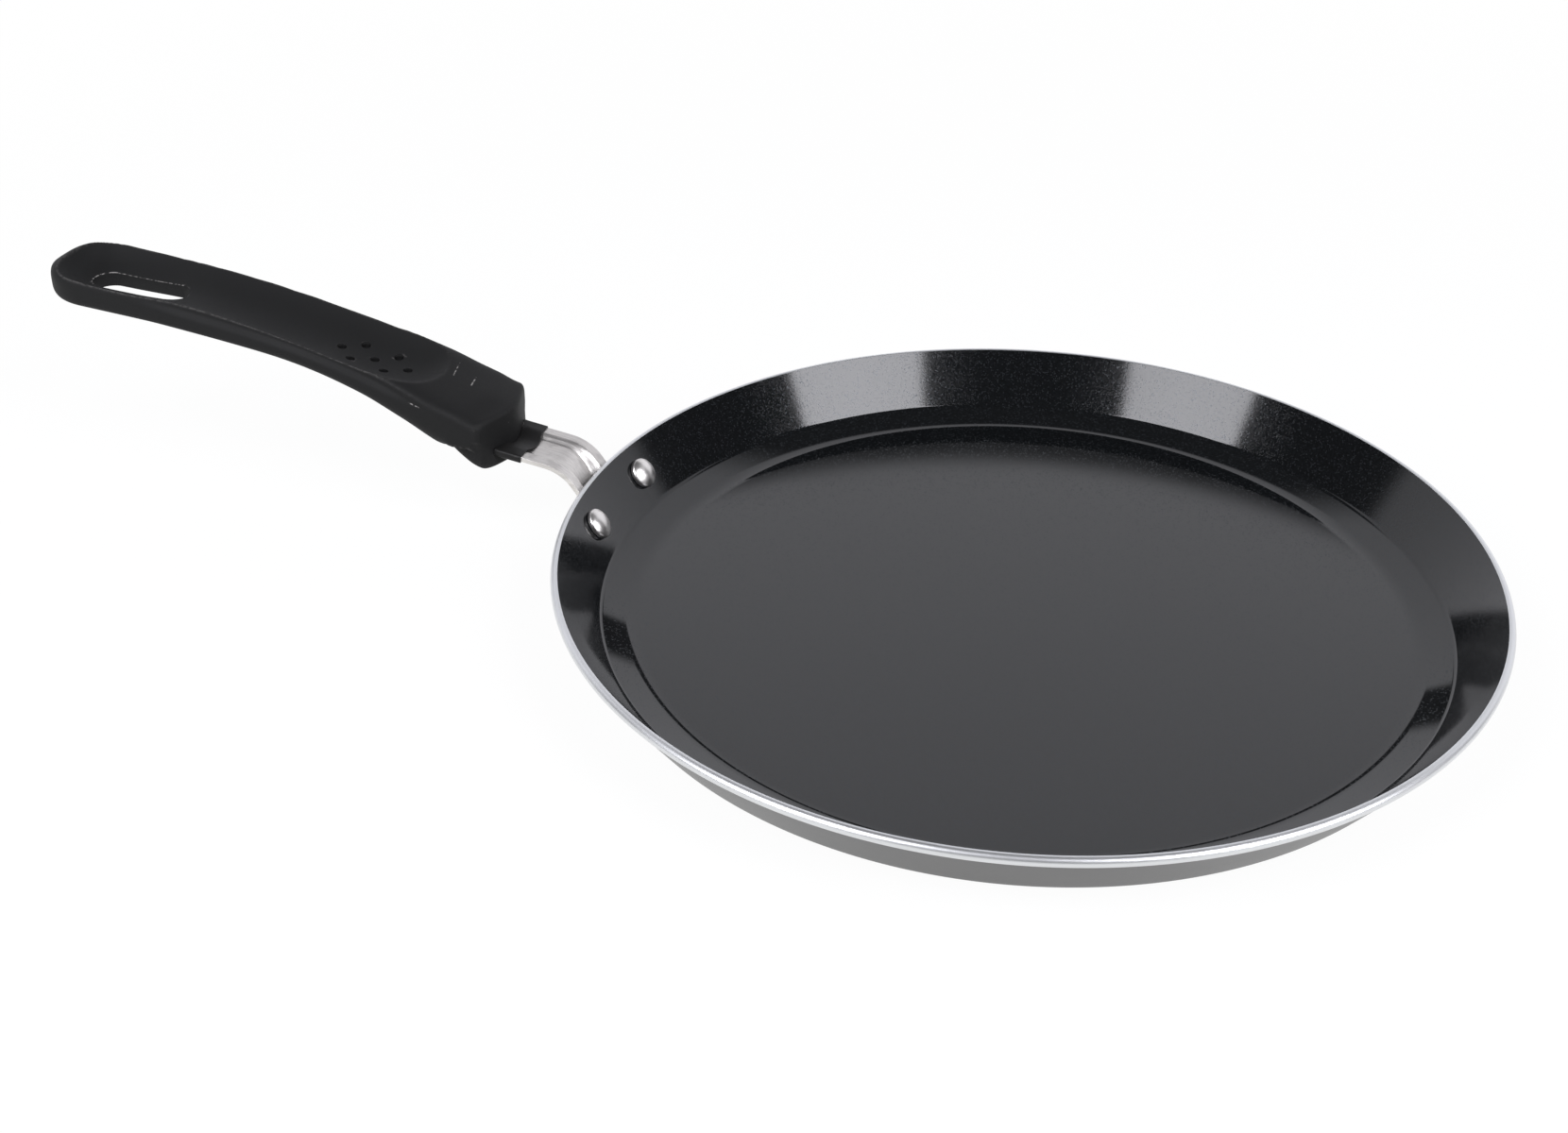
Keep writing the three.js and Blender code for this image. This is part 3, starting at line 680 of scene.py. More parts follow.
@dataclass
class PanBody:
    """The pressed pan: floor, flared wall and rim bead, with its four finishes."""

    rim_radius: float = 139.96
    height: float = 20.8
    base: float = 2.2
    wall: float = 2.5
    wall_angle: float = math.radians(53.5)
    bead_inside_step: float = 0.2
    bead_outside_step: float = 0.3
    fold: float = 2.5
    shoulder_rise: float = 2.4
    shoulder_angle: float = math.radians(14)
    shoulder: float = 18.0
    base_fillet: float = 3.0
    coating_radius: float = 137.84
    steps: int = 480

    @property
    def bead_radius(self) -> float:
        """The rim bead's radius."""
        return (self.wall + self.bead_inside_step + self.bead_outside_step) / 2

    def on_wall(self, up_slope: float, inwards: float) -> tuple[float, float]:
        """A point of the wall.

        Args:
            up_slope: how far up the slope from the bead's centre.
            inwards: how far off the slope towards the inside.

        Returns:
            Its radius and height.
        """
        cosine, sine = math.cos(self.wall_angle), math.sin(self.wall_angle)
        radius = self.rim_radius - self.bead_radius + cosine * up_slope - sine * inwards
        height = self.height - self.bead_radius + sine * up_slope + cosine * inwards
        return radius, height

    def wall_at(self, level: float, offset: float) -> tuple[float, float]:
        """The point at a level on a line along the wall, off its middle."""
        _, height = self.on_wall(0.0, offset)
        return self.on_wall((level - height) / math.sin(self.wall_angle), offset)

    def profile(self) -> Profile:
        """The pan's closed half section, from the middle of its base to the middle of its floor."""
        bead = self.bead_radius
        inside = bead - self.bead_inside_step
        outside = self.bead_outside_step - bead
        base = self.wall_at(self.base_fillet, outside + self.base_fillet)
        centre = self.on_wall(0.0, 0.0)
        first = self.wall_angle - math.pi / 2 - math.acos(-outside / bead)
        last = self.wall_angle + math.pi / 2 - math.acos(inside / bead)
        line = Profile().start(0.0, 0.0)
        for share in (0.25, 0.5, 0.75, 0.99):
            line.line(base[0] * share, 0.0)
        line.line(base[0], 0.0)
        line.arc(*base, self.wall_angle, 10)
        line.line(*self.wall_at(base[1] + 0.5, outside))
        line.line(centre[0] + bead * math.cos(first), centre[1] + bead * math.sin(first))
        line.arc(*centre, last - first, 52)
        line.line(*self.on_wall(-1.5 * bead, inside))
        return self.fold_to_floor(line, inside)

    def fold_to_floor(self, line: Profile, inside: float) -> Profile:
        """Draws the inside from the wall through the tight fold and the shallow shoulder to the floor.

        Args:
            line: the section, drawn to the wall's inside.
            inside: how far the wall's inside is off its middle.

        Returns:
            The same section, closed in the middle of the floor.
        """
        corner = self.wall_at(self.base + self.shoulder_rise, inside)
        cosine, sine = math.cos(self.shoulder_angle), math.sin(self.shoulder_angle)
        bend = self.wall_angle - self.shoulder_angle
        reach = self.fold * math.tan(bend / 2)
        run = self.shoulder_rise / math.tan(self.shoulder_angle)
        floor = corner[0] - (run + self.shoulder * math.tan(self.shoulder_angle / 2))
        for off in (reach + 0.5, reach):
            across, up = off * math.cos(self.wall_angle), off * math.sin(self.wall_angle)
            line.line(corner[0] + across, corner[1] + up)
        fold_radius = corner[0] - reach * cosine - self.fold * sine
        fold_height = corner[1] - reach * sine + self.fold * cosine
        line.arc(fold_radius, fold_height, -bend, 12)
        line.line(floor + self.shoulder * sine, self.base + self.shoulder * (1 - cosine))
        line.arc(floor, self.base + self.shoulder, -self.shoulder_angle, 12)
        for share in (0.99, 0.8, 0.55, 0.3, 0.0):
            line.line(floor * share, self.base)
        return line

    def zone(self, middle: Vector, normal: Vector) -> PanZone:
        """The finish of a face.

        Args:
            middle: the face's middle, in metres.
            normal: the face's normal.

        Returns:
            Its zone.
        """
        radius, height = math.hypot(middle.x, middle.y) / MM, middle.z / MM
        centre = self.on_wall(0.0, 0.0)
        out, up = radius - centre[0], height - centre[1]
        on_bead = math.hypot(out, up) < self.bead_radius * 1.02 and up > -self.bead_radius
        inside = out * math.sin(self.wall_angle) < up * math.cos(self.wall_angle)
        if on_bead and (not inside or radius > self.coating_radius):
            return PanZone.RIM
        if normal.z < -0.995:
            return PanZone.BASE
        return PanZone.COATING if inside and height > 0.5 * self.base else PanZone.LACQUER

    def build(self) -> bpy.types.Object:
        """Turns the pan and dresses each zone."""
        mesh = self.profile().turned(self.steps)
        for face in mesh.faces:
            face.material_index = self.zone(face.calc_center_median(), face.normal).value
        finishes = (NonStickCoating(), PolishedRim(), SatinLacquer(), TurnedBase())
        piece = to_object("pan_shell", mesh, [finish.material() for finish in finishes], 30.0)
        return show(piece, MaterialSlot.PAN, "pan_body")


@dataclass
class Rivets:
    """The two rivets through the wall and the strap's plate."""

    pan: PanBody
    spacing: float = 34.3
    below_rim: float = 8.7
    head: float = 9.6
    head_height: float = 3.0
    dome: float = 7.2
    edge: float = 0.8
    shank: float = 5.0
    tail: float = 8.0
    tail_height: float = 1.6
    grip: float = 4.9
    fit: float = 0.3
    steps: int = 64

    def shape(self) -> bmesh.types.BMesh:
        """One rivet on the Z axis, its seat at zero and its head upwards."""
        reach = self.head / 2 - self.edge
        dome_foot = self.fit + self.head_height - self.dome
        rise = math.sqrt((self.dome - self.edge) ** 2 - reach ** 2)
        lean = math.atan2(rise, reach)
        tail = self.fit - self.grip
        set_radius = ((self.tail / 2) ** 2 + self.tail_height ** 2) / (2 * self.tail_height)
        swing = math.asin(self.tail / 2 / set_radius)
        line = Profile().start(0.0, tail - self.tail_height)
        line.arc(0.0, tail - self.tail_height + set_radius, swing, 10)
        line.line(self.shank / 2, tail).line(self.shank / 2, self.fit).line(self.head / 2, self.fit)
        line.line(self.head / 2, dome_foot + rise)
        line.arc(reach, dome_foot + rise, lean, 8)
        line.arc(0.0, dome_foot, math.pi / 2 - lean, 16)
        return line.turned(self.steps)

    def frame(self, side: int) -> Matrix:
        """Where a rivet stands: side 1 or -1, square to the wall."""
        radius, height = self.pan.on_wall(-self.below_rim, self.pan.bead_radius - self.pan.bead_inside_step)
        bearing = math.asin(side * self.spacing / 2 / radius)
        place = Matrix.Translation((radius * MM, 0.0, height * MM))
        return Matrix.Rotation(bearing, 4, "Z") @ place @ Matrix.Rotation(-self.pan.wall_angle, 4, "Y")

    def build(self) -> list[bpy.types.Object]:
        """Makes both rivets."""
        material = PolishedRivet().material()
        made = []
        for name, side in (("rivet_left", -1), ("rivet_right", 1)):
            mesh = self.shape()
            bmesh.ops.transform(mesh, matrix=HALF_TURN @ self.frame(side), verts=mesh.verts[:])
            piece = to_object(name + "_set", mesh, [material], 50.0)
            made.append(show(piece, MaterialSlot.RIVETS, name))
        return made


@dataclass
class HandleStrap:
    """The pressed steel strap: rivet plate, bend over the rim, grooved neck and tang."""

    pan: PanBody
    thickness: float = 1.5
    width: float = 20.8
    rivet_spacing: float = 34.3
    rivet_below_rim: float = 8.7
    plate_margin: float = 6.5
    plate_corner: float = 5.0
    joggle: float = 2.6
    bend_past_rim: float = 3.6
    bend_radius: float = 13.0
    neck_angle: float = math.radians(6)
    neck_length: float = 14.6
    tang_angle: float = math.radians(23)
    tang_bend_radius: float = 25.0
    tang_length: float = 34.0
    tang_width: float = 16.0
    tang_blend: float = 6.0
    groove_width: float = 14.4
    groove_flank: float = 2.9
    groove_depth: float = 1.3
    groove_depth_at_rim: float = 2.7
    groove_fade: float = 6.0
    edge_width: float = 0.36
    fit: float = 0.3
    columns: int = 48
    row_count: int = 150

    @property
    def rim_at(self) -> float:
        """The distance along the strap where it passes the rim's bead."""
        return self.rivet_below_rim + self.plate_margin

    @property
    def runs(self) -> list[tuple[float, float]]:
        """The middle line's runs, as a length and a turn."""
        bend = self.pan.wall_angle - self.neck_angle
        lift = self.tang_angle - self.neck_angle
        return [
            (self.rim_at + self.bend_past_rim, 0.0),
            (self.bend_radius * bend, -bend),
            (self.neck_length, 0.0),
            (self.tang_bend_radius * lift, lift),
            (self.tang_length, 0.0),
        ]

    @property
    def face_at(self) -> float:
        """The distance along the strap of the grip's front."""
        return sum(length for length, _ in self.runs[:3])

    @property
    def length(self) -> float:
        """The strap's whole length."""
        return sum(length for length, _ in self.runs)

    def line(self, distance: float) -> tuple[float, float, float]:
        """The middle line at a distance.

        Args:
            distance: the distance from the plate's lower edge.

        Returns:
            The point's radius and height, and the heading.
        """
        offset = -(self.pan.bead_radius + self.fit + self.thickness / 2)
        radius, height = self.pan.on_wall(-self.rim_at, offset)
        heading = self.pan.wall_angle
        left = distance
        runs = self.runs
        for index, (length, turn) in enumerate(runs):
            gone = left if index == len(runs) - 1 else min(left, length)
            swing = turn * gone / length
            chord = gone if swing == 0 else 2 * gone * math.sin(swing / 2) / swing
            radius += chord * math.cos(heading + swing / 2)
            height += chord * math.sin(heading + swing / 2)
            heading += swing
            left -= gone
        return radius, height, heading

    def half_width(self, distance: float) -> float:
        """Half the strap's width at a distance along it."""
        corner = max(0.0, self.plate_corner - distance)
        plate = self.rivet_spacing / 2 + self.plate_margin - self.plate_corner
        plate += math.sqrt(self.plate_corner ** 2 - corner ** 2)
        tang = ease(distance, self.face_at, self.face_at + self.tang_blend)
        strap = lerp(self.width / 2, self.tang_width / 2, tang)
        return lerp(plate, strap, ease(distance, self.plate_margin, self.rim_at))

    def groove_drop(self, distance: float, across: float) -> float:
        """How far the pressed groove drops the sheet at a place."""
        edge = self.groove_width / 2
        flank = 1 - ease(abs(across), edge - self.groove_flank, edge)
        start = ease(distance, 0.0, self.groove_fade)
        end = 1 - ease(distance, self.face_at, self.face_at + self.groove_fade)
        past_rim = ease(distance, self.rim_at, sum(length for length, _ in self.runs[:2]))
        return lerp(self.groove_depth_at_rim, self.groove_depth, past_rim) * flank * start * end

    def place(self, distance: float, across: float, off: float) -> Vector:
        """A place in the pressed sheet.

        Args:
            distance: along the middle line.
            across: across the sheet.
            off: off its middle, towards the upper face.

        Returns:
            The place in metres, the grip along +X.
        """
        radius, height, heading = self.line(distance)
        under = self.rim_at - self.pan.bead_radius
        to_wall = self.pan.bead_outside_step * (1 - ease(distance, under - self.joggle, under))
        lift = off + to_wall - self.groove_drop(distance, across)
        radius -= math.sin(heading) * lift
        bend_start = self.runs[0][0]
        wrap = 1 - ease(distance, bend_start, bend_start + self.runs[1][0])
        sagitta = radius - math.sqrt(radius ** 2 - across ** 2)
        return Vector((radius - wrap * sagitta, across, height + math.cos(heading) * lift)) * MM

    def across_at(self, share: float, half: float) -> float:
        """A place across from a share of -1 to 1: the inner half keeps to the groove."""
        edge = self.groove_width / 2
        out = 2 * abs(share)
        across = out * edge if out < 1 else edge + (out - 1) * (half - edge)
        return math.copysign(across, share)

    def rows(self) -> list[float]:
        """Distances of the sheet's rows, close together round the plate's corners."""
        corner = [self.plate_corner * (1 - math.cos(step * math.pi / 20)) for step in range(10)]
        run = self.length - self.plate_corner
        even = [run * step / self.row_count for step in range(self.row_count + 1)]
        return corner + [self.plate_corner + gone for gone in even]

    def build(self) -> bpy.types.Object:
        """Presses the strap from a grid and gives it its thickness."""
        rows = self.rows()
        mesh = bmesh.new()
        bmesh.ops.create_grid(mesh, x_segments=len(rows) - 1, y_segments=self.columns, size=0.5)
        for vert in mesh.verts:
            distance = rows[round((vert.co.x + 0.5) * (len(rows) - 1))]
            across = self.across_at(2 * vert.co.y, self.half_width(distance))
            vert.co = HALF_TURN @ self.place(distance, across, 0.0)
        bmesh.ops.recalc_face_normals(mesh, faces=mesh.faces[:])
        piece = to_object("strap_sheet", mesh, [DrawnSteel().material()], 60.0)
        sheet = {"thickness": self.thickness * MM, "offset": 0.0, "use_even_offset": True}
        with_modifier(piece, "SOLIDIFY", sheet)
        edge = {"width": self.edge_width * MM, "segments": 3, "angle_limit": math.radians(50)}
        with_modifier(piece, "BEVEL", edge)
        settle(piece)
        return show(piece, MaterialSlot.STRAP, "handle_strap")


@dataclass
class StrapSleeve:
    """The thin black sleeve on the strap, against the grip's front."""

    strap: HandleStrap
    grip: "HandleGrip"
    length: float = 6.0
    wall: float = 0.4
    gap: float = 0.15
    corner: float = 0.8
    slant: float = 0.35
    groove_reach: float = 1.0
    groove_bottom: float = 0.6
    end_gap: float = 0.1
    edge_width: float = 0.12
    rows: int = 14

    def outline(self, half: float) -> list[tuple[float, float]]:
        """The sleeve's section round the strap.

        Args:
            half: half its width.

        Returns:
            Places across and off the strap's middle, once round.
        """
        thick = self.strap.thickness / 2 + self.gap + self.wall
        flat, rise = half - self.corner, thick - self.corner
        top = [(self.strap.across_at(step / 24, flat), thick) for step in range(-24, 25)]
        turn = []
        for step in range(1, 6):
            angle = math.pi / 2 * (1 - step / 5)
            turn.append((flat + self.corner * math.cos(angle), rise + self.corner * math.sin(angle)))
        upper = [(-across, off) for across, off in reversed(turn)] + top + turn
        return upper + [(-across, -off) for across, off in upper]

    def reach(self, across: float) -> float:
        """How far the sleeve reaches towards the pan at a place across: further in the groove."""
        slanted = self.slant * across / (self.strap.width / 2)
        return self.length + slanted + self.groove_reach * self.in_groove(across)

    def in_groove(self, across: float) -> float:
        """How far the sleeve's soft upper side dips into the groove, from 0 to 1."""
        return 1 - ease(abs(across), self.groove_bottom, self.strap.groove_width / 2)

    def build(self) -> bpy.types.Object:
        """Wraps a tube round the strap and gives it its wall."""
        end = self.strap.face_at - self.end_gap
        lean = math.tan(self.strap.neck_angle)
        half = self.strap.width / 2 + self.gap + self.wall
        outline = self.outline(half)
        mesh = bmesh.new()
        bmesh.ops.create_grid(mesh, x_segments=self.rows, y_segments=len(outline), size=0.5)
        for vert in mesh.verts:
            share = vert.co.x + 0.5
            across, off = outline[round((vert.co.y + 0.5) * len(outline)) % len(outline)]
            drop = self.strap.groove_drop(end, across)
            if off > 0:
                off += drop - self.strap.groove_depth * self.in_groove(across)
            setback = self.grip.nose_setback(across) + lean * (off - drop)
            distance = end - self.reach(across) * (1 - share) + setback * share
            vert.co = HALF_TURN @ self.strap.place(distance, across, off)
        bmesh.ops.remove_doubles(mesh, verts=mesh.verts[:], dist=1e-7)
        bmesh.ops.recalc_face_normals(mesh, faces=mesh.faces[:])
        piece = to_object("sleeve_tube", mesh, [BlackSleeve().material()], 60.0)
        with_modifier(piece, "SOLIDIFY", {"thickness": self.wall * MM, "offset": -1.0})
        edge = {"width": self.edge_width * MM, "segments": 2, "angle_limit": math.radians(60)}
        with_modifier(piece, "BEVEL", edge)
        settle(piece)
        return show(piece, MaterialSlot.SLEEVE, "strap_sleeve")


@dataclass(frozen=True)
class Station:
    """One station of the grip: heights over the strap's middle at the grip's front, and corner powers."""

    at: float
    width: float
    crest: float
    side: float
    keel: float
    top: float
    bottom: float


class GuideLine:
    """A smooth curve through values at stations, as the part's source reads them."""

    def __init__(self, at: Sequence[float], values: Sequence[float]) -> None:
        """Keeps the stations, with one more past each end."""
        self.at = [2 * at[0] - at[1], *at, 2 * at[-1] - at[-2]]
        self.values = [values[1], *values, values[-2]]

    def __call__(self, distance: float) -> float:
        """The curve's value at a distance."""
        last = len(self.at) - 3
        i = 1
        while i < last and distance >= self.at[i + 1]:
            i += 1
        before, start, end, after = self.at[i - 1:i + 3]
        p = min(1.0, max(0.0, (distance - start) / (end - start)))
        half = (end - start) / 2
        w_before, w_after = half / (start - before), half / (after - end)
        weights = (
            -w_before * p ** 3 + 2 * w_before * p ** 2 - w_before * p,
            (1 + w_before) * p ** 3 + (-1.5 - 2 * w_before) * p ** 2 + (-0.5 + w_before) * p + 1,
            (-1 - w_after) * p ** 3 + (1.5 + w_after) * p ** 2 + 0.5 * p,
            w_after * p ** 3 - w_after * p ** 2,
        )
        return sum(weight * value for weight, value in zip(weights, self.values[i - 1:i + 3]))


def squared(value: float, power: float) -> float:
    """One coordinate of a squared ellipse, from a cosine or sine."""
    return math.copysign(abs(value) ** (2 / power), value)


def round_end(gone: float, power: float) -> float:
    """How far a rounded end has closed in, from 1 where it starts to 0 at its tip."""
    return max(0.0, 1 - gone ** power) ** (1 / power)


def soft_least(first: float, second: float, blend: float) -> float:
    """The smaller of two heights, with the ridge between them rounded."""
    share = min(1.0, max(0.0, 0.5 + 0.5 * (second - first) / blend))
    return lerp(second, first, share) - blend * share * (1 - share)


GRIP_STATIONS = (
    Station(0.0, 34.0, 12.1, 2.6, -5.5, 9.0, 6.0),
    Station(0.06, 34.0, 14.8, 6.2, -3.2, 8.0, 3.6),
    Station(0.085, 34.0, 15.85, 7.68, -1.2, 7.4, 2.8),
    Station(0.12, 34.0, 17.4, 9.8, -0.7, 6.5, 2.6),
    Station(0.2, 34.0, 21.9, 14.8, 6.4, 4.4, 2.8),
    Station(0.28, 33.0, 25.7, 18.8, 12.2, 4.2, 2.6),
    Station(0.44, 32.0, 31.2, 24.6, 19.3, 4.1, 2.7),
    Station(0.7, 32.0, 36.6, 30.0, 25.2, 3.9, 5.4),
    Station(0.86, 32.0, 38.8, 31.6, 25.8, 3.8, 4.2),
    Station(1.0, 32.0, 39.6, 32.2, 26.2, 3.6, 3.9),
)
DISH_STATIONS = (
    (0.048, 24.6, 1.0), (0.085, 22.4, 1.0), (0.121, 20.35, 1.0), (0.147, 18.9, 1.0), (0.17, 17.78, 1.0),
    (0.194, 17.25, 1.0), (0.23, 17.55, 1.0), (0.267, 18.28, 1.0), (0.303, 19.4, 1.0),
    (0.34, 20.73, 1.0), (0.376, 22.08, 1.0), (0.448, 24.39, 1.02), (0.521, 26.51, 1.04),
    (0.594, 28.32, 1.06), (0.667, 29.6, 1.06), (0.721, 29.8, 1.06), (0.776, 29.5, 1.08),
    (0.83, 29.6, 1.14), (0.885, 29.9, 1.22), (0.915, 30.5, 1.26), (0.93, 31.3, 1.26),
    (0.945, 32.8, 1.26), (0.958, 35.0, 1.26), (0.969, 38.0, 1.26), (0.98, 41.5, 1.26), (1.0, 47.0, 1.26),
)


@dataclass
class HandleGrip:
    """The moulded grip: V-shaped block, dished top with a rounded lip, cove, dimples and hanging slot."""

    strap: HandleStrap
    length: float = 164.4
    nose_slope: float = 0.38
    nose_radius: float = 5.0
    nose_fade: float = 30.0
    front_edge: float = 1.6
    butt_round: float = 17.0
    butt_power: float = 2.1
    butt_bluntness: float = 3.0
    dish_radius: float = 25.0
    lip: float = 0.36
    cove_depth: float = 1.2
    cove_height: float = 1.5
    slot_length: float = 34.6
    slot_width: float = 11.0
    slot_from_butt: float = 13.0
    slot_edge: float = 0.35
    dimple: float = 3.1
    dimple_depth: float = 1.1
    dimple_pitch: float = 11.6
    dimple_rows: float = 5.0
    dimples_from_nose: float = 48.7
    screw_from_nose: float = 20.0
    recess: float = 9.4
    recess_top: float = -2.45
    recess_foot: float = -30.0
    chin_ledge: float = 2.9
    chin_inset: float = 1.6
    columns: int = 176
    lines: dict[str, GuideLine] = field(default_factory=dict)

    def __post_init__(self) -> None:
        """Draws the guide lines through the stations."""
        at = [station.at * self.length for station in GRIP_STATIONS]
        for key in ("width", "crest", "side", "keel", "top", "bottom"):
            self.lines[key] = GuideLine(at, [getattr(station, key) for station in GRIP_STATIONS])
        shares, floors, steeps = zip(*DISH_STATIONS)
        dish_at = [share * self.length for share in shares]
        self.lines["dish"] = GuideLine(dish_at, floors)
        self.lines["steep"] = GuideLine(dish_at, steeps)

    def nose_setback(self, across: float) -> float:
        """How far the grip's front falls back at a place across."""
        return self.nose_slope * (math.hypot(across, self.nose_radius) - self.nose_radius)

    def dish_height(self, distance: float, across: float) -> float:
        """The dish's height at a distance from the nose and a place across."""
        reach = min(abs(across), self.dish_radius)
        rise = self.dish_radius - math.sqrt(self.dish_radius ** 2 - reach ** 2)
        return self.lines["dish"](distance) + rise * self.lines["steep"](distance)

    def skin_point(self, distance: float, angle: float, inset: float) -> tuple[float, float]:
        """A point of the grip's section.

        Args:
            distance: the distance from the nose.
            angle: the angle round the section.
            inset: how far the rounded front edge draws the section in.

        Returns:
            The place across and the height.
        """
        into_butt = max(0.0, distance - (self.length - self.butt_round)) / self.butt_round
        upper = math.sin(angle) > 0
        power = self.lines["top" if upper else "bottom"](distance)
        side, crest, keel = (self.lines[key](distance) for key in ("side", "crest", "keel"))
        tall = (crest - side if upper else side - keel) - inset
        half = (self.lines["width"](distance) / 2 - inset) * round_end(into_butt, self.butt_power)
        across = squared(math.cos(angle), power) * half
        up = side + squared(math.sin(angle), power) * tall * round_end(into_butt, self.butt_bluntness)
        if upper:
            across -= math.copysign(self.cove(distance, up - side, crest - side), across)
            up = soft_least(up, self.dish_height(distance, across), self.lip)
        return across - math.copysign(self.chin(distance, up), across), up

    def cove(self, distance: float, above_side: float, tall: float) -> float:
        """How deep the cove under the lip is at a height over the side line."""
        along = ease(distance, 18.0, 40.0) * (1 - ease(distance, 104.0, 134.0))
        return self.cove_depth * along * math.exp(-(((above_side - 0.5 * tall) / self.cove_height) ** 2))

    def chin(self, distance: float, up: float) -> float:
        """How far the chin under the block is set in at a height."""
        along = 1 - ease(distance, 15.0, 16.6)
        return self.chin_inset * along * (1 - ease(up, self.chin_ledge - 0.25, self.chin_ledge + 0.25))

    def section(self, distance: float, inset: float) -> list[tuple[float, float]]:
        """A section's points, evenly spaced along its outline.

        Args:
            distance: the distance from the nose.
            inset: how far the section is drawn in.

        Returns:
            Places across and heights, once round from the side line.
        """
        fine = 720
        points = [self.skin_point(distance, 2 * math.pi * step / fine, inset) for step in range(fine)]
        points.append(points[0])
        run = [0.0]
        for (y0, z0), (y1, z1) in zip(points, points[1:]):
            run.append(run[-1] + math.hypot(y1 - y0, z1 - z0))
        spaced = []
        step = 0
        for column in range(self.columns):
            goal = run[-1] * column / self.columns
            while run[step + 1] < goal:
                step += 1
            share = (goal - run[step]) / max(1e-9, run[step + 1] - run[step])
            (y0, z0), (y1, z1) = points[step], points[step + 1]
            spaced.append((lerp(y0, y1, share), lerp(z0, z1, share)))
        return spaced

    def stations(self) -> list[tuple[float, float, float]]:
        """Where the sections stand.

        Returns:
            Distances from the nose, insets at the rounded front edge, and reaches of 1 on the skin
            down to 0 at the middle of the front.
        """
        front = [(0.0, self.front_edge, reach) for reach in (0.0, 0.2, 0.4, 0.6, 0.8)]
        for step in range(6):
            turn = math.pi / 2 * step / 6
            at = self.front_edge * (1 - math.cos(turn))
            front.append((at, self.front_edge * (1 - math.sin(turn)), 1.0))
        count = 180
        run = self.length - self.butt_round - self.front_edge
        body = [(self.front_edge + run * step / count, 0.0, 1.0) for step in range(count)]
        steps = 36
        butt = []
        for step in range(steps + 1):
            turn = math.pi / 2 * step / steps
            butt.append((self.length - self.butt_round * (1 - math.sin(turn)), 0.0, 1.0))
        return front + body + butt

    def to_world(self, distance: float, across: float, up: float) -> Vector:
        """A place on the grip in metres, turned to the pan's frame."""
        face_x, face_z, _ = self.strap.line(self.strap.face_at)
        return HALF_TURN @ (Vector((face_x + distance, across, face_z + up)) * MM)

    def skin(self) -> bmesh.types.BMesh:
        """The grip's closed skin before its cuts, wrapped from a grid."""
        stations = self.stations()
        sections = [self.section(distance, inset) for distance, inset, _ in stations]
        mesh = bmesh.new()
        bmesh.ops.create_grid(mesh, x_segments=len(stations) - 1, y_segments=self.columns, size=0.5)
        for vert in mesh.verts:
            row = round((vert.co.x + 0.5) * (len(stations) - 1))
            distance, _, reach = stations[row]
            across, up = sections[row][round((vert.co.y + 0.5) * self.columns) % self.columns]
            side = self.lines["side"](distance)
            across, up = across * reach, side + (up - side) * reach
            setback = self.nose_setback(across) * (1 - ease(distance, 0.0, self.nose_fade))
            vert.co = self.to_world(distance + setback, across, up)
        close_up(mesh)
        return mesh

    def slot_cutter(self) -> bmesh.types.BMesh:
        """The hanging slot with flared edges, as a shape to cut away."""
        middle = self.length - self.slot_from_butt - self.slot_length / 2
        run = (self.slot_length - self.slot_width) / 2
        turns = [math.pi / 2 * step / 6 for step in range(7)]
        edge = self.slot_edge
        rows = [(-1, edge, -3.0)]
        rows += [(-1, edge * (1 - math.sin(turn)), edge * (1 - math.cos(turn))) for turn in turns]
        rows += [(1, edge * (1 - math.sin(turn)), -edge * (1 - math.cos(turn))) for turn in reversed(turns)]
        rows += [(1, edge, 3.0)]
        columns = 96
        mesh = bmesh.new()
        bmesh.ops.create_grid(mesh, x_segments=len(rows) - 1, y_segments=columns, size=0.5)
        for vert in mesh.verts:
            level, flare, lift = rows[round((vert.co.x + 0.5) * (len(rows) - 1))]
            angle = 2 * math.pi * ((round((vert.co.y + 0.5) * columns) % columns) + 0.5) / columns
            reach = self.slot_width / 2 + flare
            along = math.copysign(run, math.cos(angle)) + reach * math.cos(angle)
            across = reach * math.sin(angle)
            distance = middle + along
            face = self.dish_height(distance, across) if level > 0 else self.lines["keel"](distance) + 0.1
            vert.co = self.to_world(distance, across, face + lift)
        close_up(mesh)
        return mesh

    def dimple_places(self) -> list[tuple[float, float]]:
        """The dimples' distances from the nose and places across."""
        places = []
        for row, count in ((-1, 2), (0, 3), (1, 2)):
            for index in range(count):
                distance = self.dimples_from_nose + self.dimple_pitch * (index - (count - 1) / 2)
                places.append((distance, row * self.dimple_rows))
        return places

    def dimple_cutter(self) -> bmesh.types.BMesh:
        """The seven dimples, as balls to cut away."""
        radius = ((self.dimple / 2) ** 2 + self.dimple_depth ** 2) / (2 * self.dimple_depth)
        mesh = bmesh.new()
        for distance, across in self.dimple_places():
            up = self.dish_height(distance, across) + radius - self.dimple_depth
            place = Matrix.Translation(self.to_world(distance, across, up))
            bmesh.ops.create_uvsphere(mesh, u_segments=40, v_segments=24, radius=radius * MM, matrix=place)
        return mesh

    def screw_frame(self) -> Matrix:
        """The screw's frame: its origin on the tang's middle, +Z square to the tang, upwards."""
        radius, height, heading = self.strap.line(self.strap.face_at + self.screw_from_nose)
        place = Matrix.Translation((radius * MM, 0.0, height * MM))
        return HALF_TURN @ place @ Matrix.Rotation(-heading, 4, "Y")

